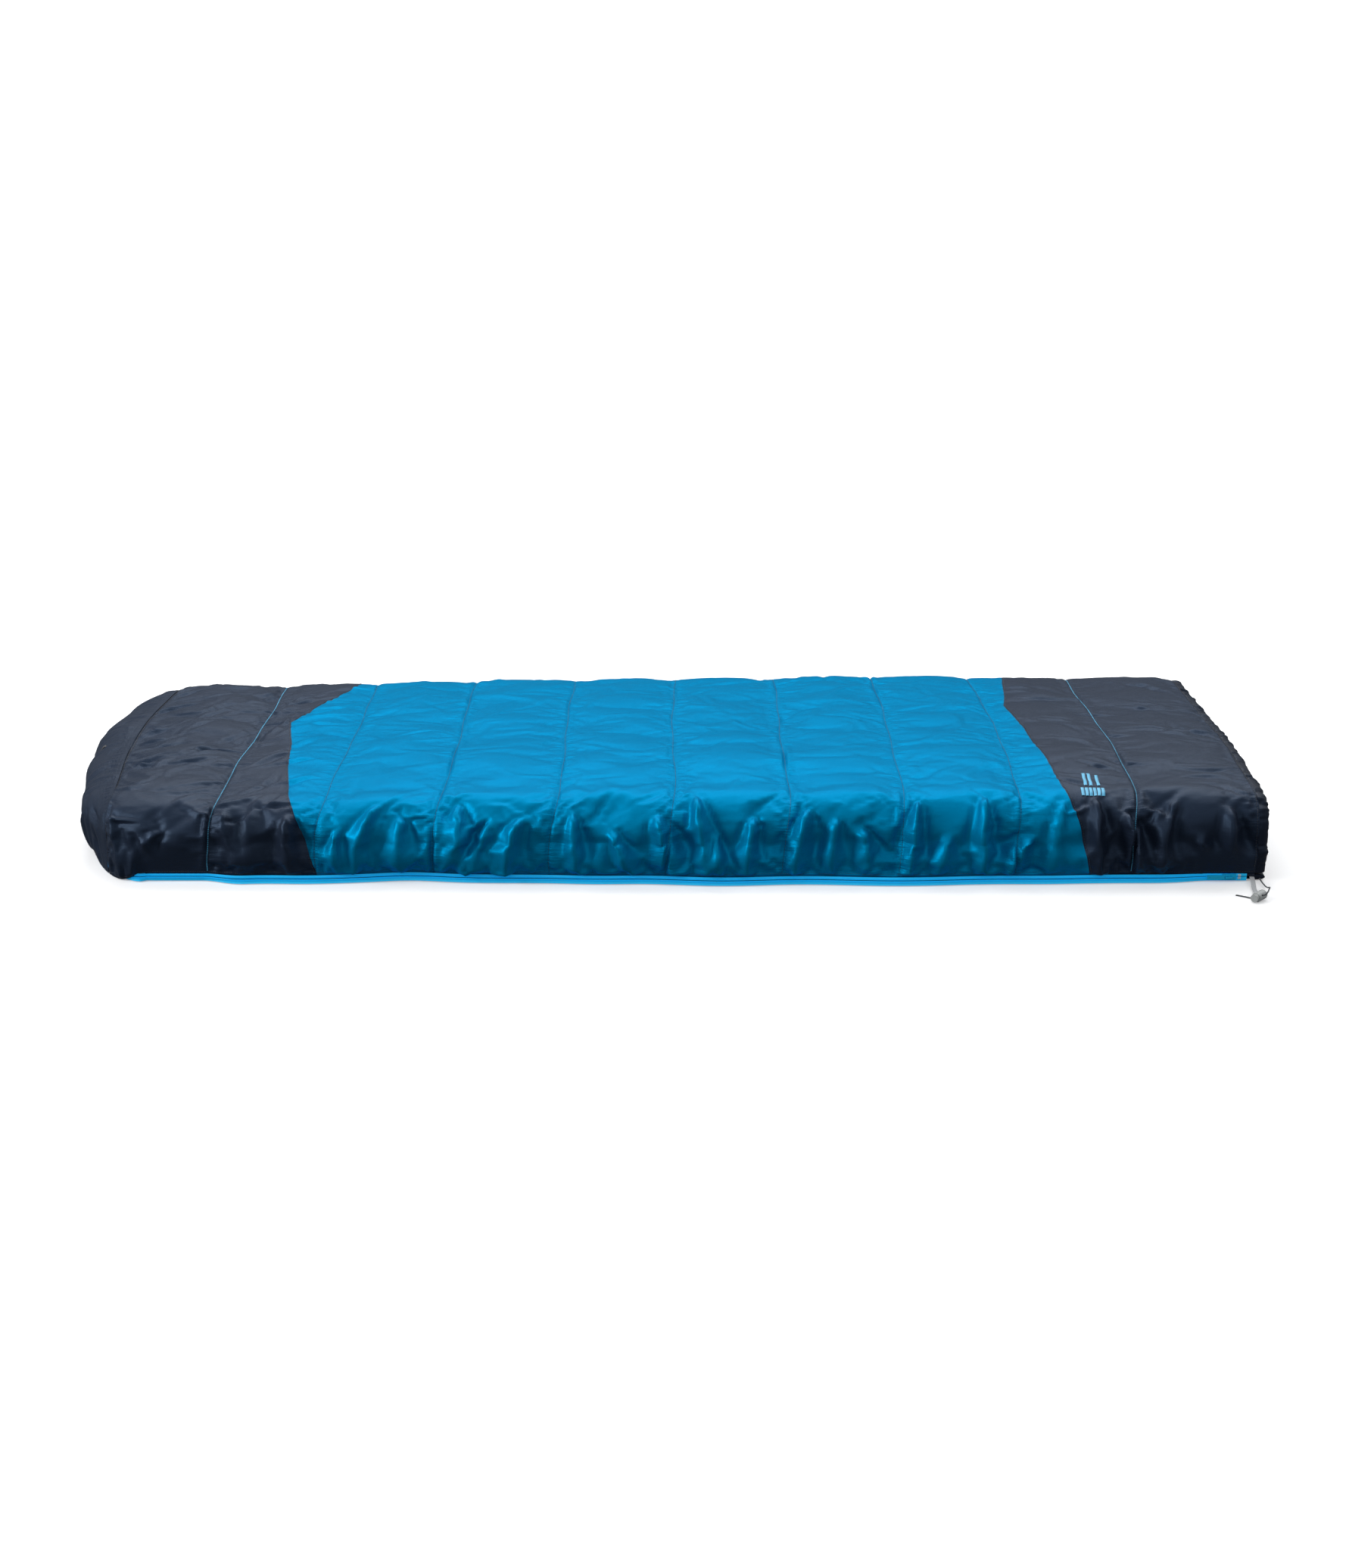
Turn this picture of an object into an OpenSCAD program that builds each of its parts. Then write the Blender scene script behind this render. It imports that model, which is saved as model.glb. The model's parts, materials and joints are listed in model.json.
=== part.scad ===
// Rectangular sleeping bag, zipped shut and lying flat on its underside.
// Millimetres. +X runs to the head end, -Y is the zipped long side, +Y the folded side, +Z up.
// The bottom quilt is the base; the top quilt hinges on the fold along the +Y side.

/* [Bag] */
// Overall length, from the foot bulge to the head hem
bag_length = 2075; // [1900:5:2250]
// Width of the shell
bag_width = 780; // [700:5:850]
// Height of the crown above the floor
bag_height = 150; // [120:5:180]
// Radius of the shoulders along both long sides
shoulder_r = 62; // [40:1:70]
// Radius of the foot corners seen from above
foot_corner_r = 130; // [90:5:180]

/* [Quilts] */
// Thickness of a shell or lining skin
skin_t = 1.2; // [0.8:0.1:2]
// Depth from the outside of the bag to the inside of its lining
quilt_t = 23; // [18:0.5:30]
// Height of the bottom quilt at its rim, under the zip's top half
rim_z = 12.6; // [11:0.1:13]
// Height of the bottom quilt's lining inside the bag
floor_z = 22; // [18:0.5:26]
// Width of the hem round the head opening
hem_w = 19.8; // [14:0.1:24]
// Plan position of the seam of the foot cap
cap_seam_x = -962.5; // [-980:0.5:-940]

/* [Zip] */
// Lowest point of the bottom coil
coil_low_z = 5; // [4:0.1:6]
// Height of one coil half
coil_h = 3.6; // [3:0.1:4.2]
// Gap between the two coil halves, for the slider's divider
coil_gap = 1.2; // [0.8:0.1:1.6]
// Centre of the slider when the zip is shut
slider_x = 975; // [900:1:980]
// Length of the slider's body
slider_l = 24; // [16:1:26]
// Length of the pull tab from its pivot
pull_l = 38; // [24:1:44]

/* [Drawcord and trim] */
// Diameter of the elastic drawcord
cord_d = 2.5; // [2:0.1:3.5]
// Diameter of the drawcord tunnel in the hems
tunnel_d = 5; // [4:0.1:6]
// Radius of the cord lock's barrel
lock_r = 8.2; // [7:0.1:9]
// Length of the cord lock's barrel
lock_l = 21; // [18:1:24]
// Travel of the cord lock's plunger
plunge = 3; // [2:0.5:4]
// Width of the webbing of the hang loop
loop_w = 10; // [8:1:15]

/* [Hidden] */
$fn = 96;

half_l = bag_length / 2;
half_w = bag_width / 2;
shift_y = 3.4;              // puts the origin at the middle of the whole width, pull tab included
gap = 0.2;                  // clearance between neighbouring soft pieces
bull_r = bag_height / 2;    // the foot end is a half round seen from the side
fold_z = bag_height / 2;    // height of the fold, and of the hinge
wall_z = 13.6;              // lower edge of the top quilt's walls
split_y = 259;              // where the foot wall leaves the top quilt for the bottom one
hem_x = half_l - hem_w;
ease = 0.1;                 // keeps rounded outlines from meeting flat ones at a bare touch
cap_cut_x = cap_seam_x + 3;   // the foot cap's cloth turns in past the bend before its seam
zip_foot_x = -1004.5;       // plane of the zip across the foot
zip_end_y = 250;            // end of the zip at the far foot corner
coil_end_x = 990;
coil_mid = coil_low_z + coil_h + coil_gap / 2;
coil_top_z = coil_low_z + 2 * coil_h + coil_gap;
batt_in = quilt_t - skin_t - gap;
cord_in = 11;               // depth of the drawcord inside the hems

// Plan shapes of the colour boundaries, from the near side to the far side
foot_edge = [[-590, -395], [-620, -350], [-695, 70], [-605, 310], [-575, 395]];
head_edge = [[730, -395], [697, -340], [695, -170], [662, 125], [707, 395]];

// The lock's place on the floor, and the drawcord's way from the hem through it
lock_at = [1004, -475, lock_r];
lock_turn = 225;
hole_tilt = 30;
hole_x = 2.5;
tail_route = [
  [1027, -391.4, 6.3], [1027, -398, 6.2], [1027.5, -406, 5.4], [1028.5, -414, 4.6],
  [1029, -422, 4.6], [1029, -430, 6], [1028.5, -438, 8.6], [1027.5, -446, 11.8],
  [1026, -454, 15.2], [1024, -462, 18.4], [1021.5, -470, 20.6], [1018.5, -477.5, 21],
  [1015, -483.5, 18.8], [1011.2, -485.8, 15.6], [1007.8, -482.4, 12.7], [1005, -479.6, 10.4],
  [1002.2, -476.8, 8.2], [999.4, -474, 5.9], [996.7, -471.3, 3.6], [993.5, -468.2, 2],
  [989, -464.6, 1.4], [983, -460.6, 1.3], [977, -457, 1.3], [971, -454, 1.3]
];

// ---- plan, section and side outlines, all inset by o ----

module plan2d(o) {
  r = foot_corner_r - o;
  translate([-half_l + foot_corner_r, -half_w + o + ease])
    square([2 * half_l - foot_corner_r, 2 * (half_w - o - ease)]);
  translate([-half_l + o, -half_w + foot_corner_r])
    square([foot_corner_r + 1, 2 * (half_w - foot_corner_r)]);
  for (s = [-1, 1]) translate([-half_l + foot_corner_r, s * (half_w - foot_corner_r)]) circle(r);
}

module arch2d(o) {
  w = half_w + 1.5 * ease;
  translate([-w + o, -1]) square([2 * (w - o), bag_height - shoulder_r + 1]);
  translate([-w + shoulder_r, 0]) square([2 * (w - shoulder_r), bag_height - o]);
  for (s = [-1, 1]) translate([s * (w - shoulder_r), bag_height - shoulder_r])
    circle(shoulder_r - o);
}

module side2d(o) {
  translate([cap_seam_x, -1]) square([half_l + 5 - cap_seam_x, bag_height - o + 1]);
  translate([cap_seam_x, bull_r]) circle(bull_r - o);
}

// The bag's outside, inset by o: section, plan and side outlines crossed
module form(o) {
  intersection() {
    translate([-half_l - 5, 0, 0]) rotate([90, 0, 90]) linear_extrude(2 * half_l + 5) arch2d(o);
    translate([0, 0, -2]) linear_extrude(bag_height + 4) plan2d(o);
    translate([0, half_w + 2, 0]) rotate([90, 0, 0]) linear_extrude(bag_width + 4) side2d(o);
  }
}

module layer(o1, o2) { difference() { form(o1); form(o2); } }

module block(a, b) { translate(a) cube(b - a); }

// Where the top quilt's walls may be: low on the near side and foot, above the fold elsewhere
module top_zone(low, fold) {
  block([-half_l - 9, -half_w - 9, fold], [hem_x - gap, half_w + 9, bag_height + 9]);
  block([-half_l - 9, -half_w - 9, low], [hem_x - gap, 0, fold + 1]);
  block([-half_l - 9, -1, low], [-905, split_y - 1.5, fold + 1]);
}

// Where the bottom quilt's far wall may be, up to the fold
module fold_zone(low, high, y0 = split_y + 1.5) {
  block([-half_l - 9, y0, low], [hem_x - gap, half_w + 9, high]);
}

// Plan shape of the strip that carries the zip: near side, near foot corner and foot
module zip_plan(o) {
  intersection() {
    plan2d(o);
    translate([zip_foot_x + o, -half_w - 1]) square([half_l * 3, bag_width + 2]);
  }
}

module zip_strip(o1, o2, z0, z1, x1) {
  intersection() {
    translate([0, 0, z0]) linear_extrude(z1 - z0) difference() { zip_plan(o1); zip_plan(o2); }
    union() {
      block([-half_l, -half_w - 1, z0 - 1], [x1, -half_w + foot_corner_r + 1, z1 + 1]);
      block([-half_l, -half_w - 1, z0 - 1], [zip_foot_x + 9, zip_end_y, z1 + 1]);
    }
  }
}

// Plan shape of the bottom quilt: drawn in behind the zip, full width on the folded side
module slab_plan(o) {
  intersection() {
    union() {
      plan2d(4.8 + o);
      intersection() { plan2d(o); translate([-half_l, 0]) square([half_l * 2, half_w]); }
    }
    translate([zip_foot_x + 4.8 + o, -half_w]) square([hem_x - gap - zip_foot_x - 4.8 - o, bag_width]);
  }
}

// Plan shape of the raised middle of the bottom quilt
module raised_plan(o) {
  intersection() {
    plan2d(quilt_t + 3 + o);
    translate([-955 + o, -half_w]) square([hem_x - 3 + 955 - 2 * o, bag_width]);
  }
}

module slab(o, z0, z1) { translate([0, 0, z0]) linear_extrude(z1 - z0) slab_plan(o); }
module raised(o, z0, z1) { translate([0, 0, z0]) linear_extrude(z1 - z0) raised_plan(o); }

// Between two colour boundaries, each given as a plan polyline
module between(left, right) {
  back = [for (i = [len(right) - 1:-1:0]) [right[i][0] - gap / 2, right[i][1]]];
  translate([0, 0, -5]) linear_extrude(bag_height + 10)
    polygon(concat([for (p = left) [p[0] + gap / 2, p[1]]], back));
}
function edge_at(x) = [[x, -395], [x, 395]];

// ---- bottom quilt ----

module bottom_shell() color([0.17, 0.19, 0.25]) {
  slab(0, 0, skin_t);
  difference() { slab(0, 0, rim_z); slab(skin_t, -1, rim_z + 1); }
  intersection() { layer(0, skin_t); fold_zone(rim_z - 1, fold_z - 0.5); }
  block([-905, half_w - skin_t, 0], [hem_x - gap, half_w, fold_z - 0.5]);
  intersection() {
    fold_zone(rim_z - 1, rim_z + 0.2);
    translate([0, 0, 1]) linear_extrude(bag_height)
      difference() {
        intersection() { plan2d(0.1); translate([zip_foot_x + 0.4, 0]) square([half_l, half_w]); }
        slab_plan(skin_t);
      }
  }
}

module bottom_batt_floor() color([0.93, 0.93, 0.92]) {
  slab(skin_t + gap, skin_t + gap, rim_z - skin_t - gap);
  raised(skin_t + gap, rim_z - skin_t - gap - 0.1, floor_z - skin_t - gap);
}

module bottom_batt_fold() color([0.93, 0.93, 0.92])
  intersection() { layer(3, batt_in); fold_zone(rim_z + 0.4, fold_z - 0.7, split_y + 2.5); }

module bottom_liner() color([0.22, 0.25, 0.32]) {
  difference() {
    slab(skin_t + gap, rim_z - skin_t, rim_z);
    raised(skin_t, 0, floor_z);
  }
  difference() { raised(0, rim_z - skin_t, floor_z); raised(skin_t, 0, floor_z - skin_t); }
  intersection() { layer(quilt_t - skin_t, quilt_t); fold_zone(rim_z - 0.6, fold_z - 10.2); }
}

module fold_liner() color([0.22, 0.25, 0.32])
  intersection() { layer(quilt_t - skin_t, quilt_t); fold_zone(fold_z - 10, fold_z + 10, split_y + 3); }

// The drawcord's path in the hems: bottom run along the floor and up the far side
module bottom_run(d, near, top) {
  x = hem_x + hem_w / 2;
  y1 = half_w - cord_in;
  translate([x, near, 6.3]) rotate([-90, 0, 0]) cylinder(d = d, h = y1 - 9 - near);
  translate([x, y1 - 9, 15.3]) rotate([0, 90, 0]) rotate([0, 0, 0])
    rotate_extrude(angle = 90) translate([9, 0]) circle(d = d);
  translate([x, y1, 15.3]) cylinder(d = d, h = top - 15.3);
}

// Top run: up the near side, across the crown and down to the fold
module top_run(d, near, far) {
  x = hem_x + hem_w / 2;
  c = half_w - shoulder_r;
  r = shoulder_r - cord_in;
  zc = bag_height - shoulder_r;
  translate([x, -half_w + cord_in, near]) cylinder(d = d, h = zc - near);
  translate([x, half_w - cord_in, far]) cylinder(d = d, h = zc - far);
  translate([x, -c, zc + r]) rotate([-90, 0, 0]) cylinder(d = d, h = 2 * c);
  for (s = [-1, 1]) translate([x, s * c, zc]) rotate([90, 0, s > 0 ? 90 : -90])
    rotate_extrude(angle = 90) translate([r, 0]) circle(d = d);
}

module hem_section(x0, x1) {
  translate([x0, 0, 0]) rotate([90, 0, 90]) linear_extrude(x1 - x0)
    difference() { arch2d(0); arch2d(quilt_t); }
}

module bottom_head_hem() color([0.1, 0.11, 0.15]) difference() {
  union() {
    block([hem_x, -half_w, 0], [half_l, half_w, rim_z]);
    intersection() {
      hem_section(hem_x, half_l);
      block([hem_x - 1, 300, 0], [half_l + 1, half_w + 1, fold_z - 0.5]);
    }
  }
  bottom_run(tunnel_d, -half_w - 1, fold_z);
}

module drawcord_bottom_run() color([0.25, 0.27, 0.3]) bottom_run(cord_d, -half_w - 1, fold_z - 0.7);

// ---- free drawcord, its lock and anchor tab ----

function unit(v) = v / norm(v);
function along(p, i) = unit(p[min(i + 1, len(p) - 1)] - p[max(i - 1, 0)]);
function side_of(t) = unit(cross(t, [0.2, 0.1, 1]));

module tube(path, d, sides = 8) {
  n = len(path);
  pts = [for (i = [0:n - 1]) let (t = along(path, i), u = side_of(t), v = cross(t, u))
    for (k = [0:sides - 1]) path[i] + d / 2 * (cos(360 * k / sides) * u + sin(360 * k / sides) * v)];
  faces = [for (i = [0:n - 2]) for (k = [0:sides - 1])
    [i * sides + k, (i + 1) * sides + k, (i + 1) * sides + (k + 1) % sides, i * sides + (k + 1) % sides]];
  caps = [[for (k = [0:sides - 1]) k], [for (k = [sides - 1:-1:0]) (n - 1) * sides + k]];
  polyhedron(pts, concat(faces, caps), convexity = 6);
}

module drawcord_tail() color([0.3, 0.33, 0.36]) tube(tail_route, cord_d);

module at_lock() { translate(lock_at) rotate([0, 0, lock_turn]) children(); }
module along_hole() { rotate([0, 0, 0]) rotate([hole_tilt - 90, 0, 0]) children(); }

module cord_lock_body() color([0.82, 0.84, 0.84, 0.8]) at_lock() difference() {
  translate([-lock_l + 9, 0, 0]) rotate([0, 90, 0]) cylinder(r = lock_r, h = lock_l);
  translate([-9.5, 0, 0]) rotate([0, 90, 0]) cylinder(r = 5.9, h = 20);
  translate([hole_x, 0, 0]) along_hole() translate([0, 0, -12]) cylinder(r = 2.2, h = 24);
}

module cord_lock_spring() color([0.7, 0.72, 0.74]) at_lock()
  for (i = [0:3]) translate([-8.7 + 1.9 * i, 0, 0]) rotate([0, 90, 0])
    difference() { cylinder(r = 4.6, h = 1); translate([0, 0, -1]) cylinder(r = 3.8, h = 3); }

module cord_lock_plunger() color([0.86, 0.88, 0.88, 0.85]) at_lock() difference() {
  union() {
    translate([-1.5, 0, 0]) rotate([0, 90, 0]) cylinder(r = 5.6, h = 14.7);
    translate([13, 0, 0]) rotate([0, 90, 0]) cylinder(r = 6.8, h = 3.2);
  }
  for (dx = [0, 1, 2, plunge]) translate([hole_x + 0.4 + dx, 0, 0]) along_hole()
    translate([0, 0, -9]) cylinder(r = 2, h = 18);
}

module cord_anchor_tab() color([0.72, 0.74, 0.75])
  translate([1012, -391, 0]) rotate([0, 0, 262.6]) translate([0, 4, 0]) rotate([90, 0, 0])
    linear_extrude(8) polygon([[0, 9], [14, 8], [40, 2.6], [66, 5.6], [66, 6.6], [40, 3.6], [14, 9], [0, 10]]);

// ---- zip ----

module zip_tape_bottom() color([0.02, 0.42, 0.68])
  zip_strip(2.2, 2.8, 1.4, coil_low_z + coil_h, 1008);
module zip_coil_bottom() color([0.05, 0.55, 0.82])
  zip_strip(0, 2, coil_low_z, coil_low_z + coil_h, coil_end_x);
module zip_tape_top() color([0.02, 0.42, 0.68])
  zip_strip(2.2, 2.8, coil_top_z - coil_h, wall_z + 1, 1008);
module zip_coil_top() color([0.1, 0.6, 0.86])
  zip_strip(0, 2, coil_top_z - coil_h, coil_top_z, coil_end_x);
module stop(z0) block([coil_end_x + 0.4, -half_w, z0], [coil_end_x + 5.4, -half_w + 2, z0 + coil_h]);
module zip_stop_lower() color([0.8, 0.86, 0.9]) stop(coil_low_z);
module zip_stop_upper() color([0.8, 0.86, 0.9]) stop(coil_top_z - coil_h);
module zip_end_stop() color([0.05, 0.5, 0.78])
  block([zip_foot_x - 0.2, zip_end_y + 0.4, coil_low_z], [zip_foot_x + 2, zip_end_y + 5.4, coil_top_z]);

module zip_slider() color([0.04, 0.5, 0.78]) translate([slider_x, -half_w, coil_mid]) {
  l = slider_l / 2;
  block([-l, -2, -5.3], [l, -0.4, 5.3]);
  block([-l, 3, -5.3], [l, 4.2, 5.3]);
  block([l - 7, -1, -0.4], [l - 1, 3.5, 0.4]);
  translate([0, 0, -1.5]) linear_extrude(3)
    polygon([[-6.6, -1.9], [-6.6, -4], [-4.6, -5.4], [4.6, -5.4], [6.6, -4], [6.6, -1.9],
      [5.6, -1.9], [5.6, -3.6], [4.2, -4.5], [-4.2, -4.5], [-5.6, -3.6], [-5.6, -1.9]]);
}

module zip_pull() color([0.04, 0.5, 0.78]) translate([slider_x, -half_w - 3.25, coil_mid]) {
  translate([0, 0, -3.6]) cylinder(d = 1.6, h = 7.2);
  for (s = [-1, 1]) block([-9, -0.6, s * 2.9 - 0.7], [0, 0.6, s * 2.9 + 0.7]);
  block([-pull_l, -0.6, -4], [-8.4, 0.6, 4]);
}

// ---- top quilt ----

module top_skin(left, right) intersection() {
  layer(0, skin_t);
  top_zone(wall_z, fold_z + 0.5);
  between(left, right);
}

module top_shell_foot_cap() color([0.2, 0.22, 0.3]) top_skin(edge_at(-half_l - 5), edge_at(cap_cut_x));
module top_shell_foot() color([0.18, 0.2, 0.27]) top_skin(edge_at(cap_cut_x), foot_edge);
module top_shell_middle() color([0.0, 0.55, 0.77]) top_skin(foot_edge, head_edge);
module top_shell_head() color([0.18, 0.2, 0.27]) top_skin(head_edge, edge_at(hem_x));

batt_low = wall_z + skin_t + gap;
crown_z = bag_height - batt_in + gap;

module top_batt_crown() color([0.93, 0.93, 0.92])
  intersection() { form(3); top_zone(crown_z, crown_z); }
module top_batt_near() color([0.93, 0.93, 0.92])
  intersection() { layer(3, batt_in); block([cap_seam_x + gap, -half_w, batt_low], [hem_x - gap, 0, crown_z - 3 * gap]); }
module top_batt_far() color([0.93, 0.93, 0.92])
  intersection() { layer(3, batt_in); block([cap_seam_x + gap, 0, fold_z + 0.7], [hem_x - gap, half_w, crown_z - 3 * gap]); }
module top_batt_foot() color([0.93, 0.93, 0.92])
  intersection() {
    layer(3, batt_in);
    union() {
      block([-half_l, -half_w, batt_low], [cap_seam_x, split_y - 2.5, crown_z - 3 * gap]);
      block([-half_l, -half_w, fold_z + 0.7], [cap_seam_x, half_w, crown_z - 3 * gap]);
    }
  }

module top_liner() color([0.22, 0.25, 0.32]) {
  intersection() {
    layer(quilt_t - skin_t, quilt_t);
    union() {
      block([-half_l, -half_w, fold_z + 10.2], [hem_x - gap, half_w, bag_height]);
      block([-half_l, -half_w, wall_z], [hem_x - gap, 0, fold_z + 11]);
      block([-half_l, -1, wall_z], [-905, split_y - 1.5, fold_z + 11]);
    }
  }
  block([-905, -half_w + 4.6, wall_z], [hem_x - gap, -half_w + quilt_t - skin_t / 2, wall_z + skin_t]);
}

module top_head_casing() color([0.1, 0.11, 0.15]) difference() {
  intersection() {
    hem_section(hem_x, half_l);
    union() {
      block([hem_x - 1, -half_w - 1, fold_z + 0.5], [half_l + 1, half_w + 1, bag_height + 1]);
      block([hem_x - 1, -half_w - 1, wall_z], [half_l + 1, 0, fold_z + 1]);
    }
  }
  top_run(tunnel_d, wall_z + 2, fold_z);
}

module drawcord_top_run() color([0.25, 0.27, 0.3]) top_run(cord_d, wall_z + 3, fold_z + 0.7);

module hang_loop() color([0.06, 0.06, 0.07])
  translate([cap_seam_x, loop_w / 2, bull_r]) rotate([90, 0, 0]) linear_extrude(loop_w)
    rotate(180 - 26) translate([bull_r + 0.7, -6]) difference() {
      union() { square([4.8, 12]); translate([2.4, 0]) circle(2.4); translate([2.4, 12]) circle(2.4); }
      union() { translate([1.2, 0]) square([2.4, 12]); translate([2.4, 0]) circle(1.2); translate([2.4, 12]) circle(1.2); }
    }

translate([0, shift_y, 0]) {
  bottom_shell();
  bottom_batt_floor();
  bottom_batt_fold();
  bottom_liner();
  fold_liner();
  bottom_head_hem();
  drawcord_bottom_run();
  drawcord_tail();
  cord_lock_body();
  cord_lock_spring();
  cord_lock_plunger();
  cord_anchor_tab();
  zip_tape_bottom();
  zip_coil_bottom();
  zip_stop_lower();
  zip_end_stop();
  top_shell_foot_cap();
  top_shell_foot();
  top_shell_middle();
  top_shell_head();
  top_batt_crown();
  top_batt_near();
  top_batt_far();
  top_batt_foot();
  top_liner();
  top_head_casing();
  drawcord_top_run();
  zip_tape_top();
  zip_coil_top();
  zip_stop_upper();
  zip_slider();
  zip_pull();
  hang_loop();
}
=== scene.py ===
"""Rectangular sleeping bag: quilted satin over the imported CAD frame. Metres, +X head, -Y zip side, +Z up."""
import json
import math

import bpy
import numpy as np
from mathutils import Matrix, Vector

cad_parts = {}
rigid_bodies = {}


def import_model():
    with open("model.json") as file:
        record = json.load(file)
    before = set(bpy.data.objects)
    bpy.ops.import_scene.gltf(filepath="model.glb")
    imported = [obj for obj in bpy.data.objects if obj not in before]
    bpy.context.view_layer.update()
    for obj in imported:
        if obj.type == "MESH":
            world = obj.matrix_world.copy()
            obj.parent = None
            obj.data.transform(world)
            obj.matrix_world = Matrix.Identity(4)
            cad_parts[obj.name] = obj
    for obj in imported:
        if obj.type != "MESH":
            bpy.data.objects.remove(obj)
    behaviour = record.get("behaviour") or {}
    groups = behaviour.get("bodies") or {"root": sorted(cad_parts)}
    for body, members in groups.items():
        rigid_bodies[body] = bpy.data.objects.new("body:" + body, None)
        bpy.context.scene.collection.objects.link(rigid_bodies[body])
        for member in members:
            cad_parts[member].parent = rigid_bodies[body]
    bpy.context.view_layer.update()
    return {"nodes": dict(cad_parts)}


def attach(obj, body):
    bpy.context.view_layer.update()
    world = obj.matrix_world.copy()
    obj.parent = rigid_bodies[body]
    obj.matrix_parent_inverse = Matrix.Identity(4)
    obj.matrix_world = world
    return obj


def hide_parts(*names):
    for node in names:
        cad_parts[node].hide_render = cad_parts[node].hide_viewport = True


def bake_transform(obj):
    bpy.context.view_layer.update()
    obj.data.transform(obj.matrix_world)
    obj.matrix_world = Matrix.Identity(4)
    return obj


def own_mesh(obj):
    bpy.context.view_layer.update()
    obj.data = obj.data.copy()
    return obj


for thing in list(bpy.data.objects):
    bpy.data.objects.remove(thing, do_unlink=True)
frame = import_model()
SCENE = bpy.context.scene

# ---------------------------------------------------------------- sizes, as in the CAD
SHIFT = 0.0034                      # the CAD moves the bag this far in y to centre its whole width
ASIDE = np.array([0, SHIFT, 0])
HALF_L, HALF_W = 1.0375, 0.390
CORNER_R = 0.130                    # foot corners, seen from above
SHOULDER_R = 0.072
FOLD_Z = 0.075
FOLD_Y = 0.3944                     # hinge line
ZIP_Z = 0.0138                      # lower edge of the top quilt's walls
LOW_FOOT = 1.0055                   # the foot end turns in below, to the zip
ARC_X, ARC_Y = HALF_L - CORNER_R, HALF_W - CORNER_R
SEAM_A = -0.9620                    # seam of the foot cap
HEM_X = 1.0180
PITCH = 0.1982                      # between quilting seams
LINES = np.array([SEAM_A + PITCH * k + (0.013 if k == 1 else 0) for k in range(10)] + [HEM_X])
SEAMS = LINES[1:-1]
SPLIT_Y = 0.259
BODY_TOP, BODY_BASE = "top_quilt", "bottom_quilt"


def ramp(x, a, b):
    t = np.clip((np.asarray(x, float) - a) / (b - a), 0, 1)
    return t * t * (3 - 2 * t)


def bump(x, centre, width):
    return np.exp(-((np.asarray(x, float) - centre) / width) ** 2)


def unit(vectors):
    return vectors / np.maximum(np.linalg.norm(vectors, axis=-1, keepdims=True), 1e-12)


def run_along(line):
    """Distance along a line to each of its points."""
    return np.concatenate([[0], np.cumsum(np.linalg.norm(np.diff(line, axis=0), axis=1))])


def sample(at, places, values):
    """Linear interpolation of rows of values, known at places."""
    return np.stack([np.interp(at, places, values[:, k]) for k in range(values.shape[1])], -1)


def filled(grid, value):
    """One number for each point of a grid of points."""
    return np.full(grid.shape[:2], value)


def stand_for(obj, slot, *nodes):
    """Hides the CAD nodes that a piece stands for. The piece and the slot are not used."""
    if nodes:
        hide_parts(*nodes)


# ---------------------------------------------------------------- camera
ELEVATION, DISTANCE, LENS = math.radians(19.0), 3.862, 47.2
TARGET = Vector((0.0305, SHIFT, 0.0420))


def put(name, data, at=None, towards=None):
    """A new object in the scene, turned to look at a point if one is given."""
    obj = bpy.data.objects.new(name, data)
    SCENE.collection.objects.link(obj)
    if at is not None:
        obj.location = at
        obj.rotation_euler = (Vector(towards) - Vector(at)).to_track_quat("-Z", "Y").to_euler()
    return obj


EYE = TARGET + DISTANCE * Vector((0, -math.cos(ELEVATION), math.sin(ELEVATION)))
SCENE.camera = put("camera", bpy.data.cameras.new("camera"), EYE, TARGET)
SCENE.camera.data.lens = LENS
SCENE.camera.data.sensor_width = 36
SCENE.camera.data.clip_end = 60


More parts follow.
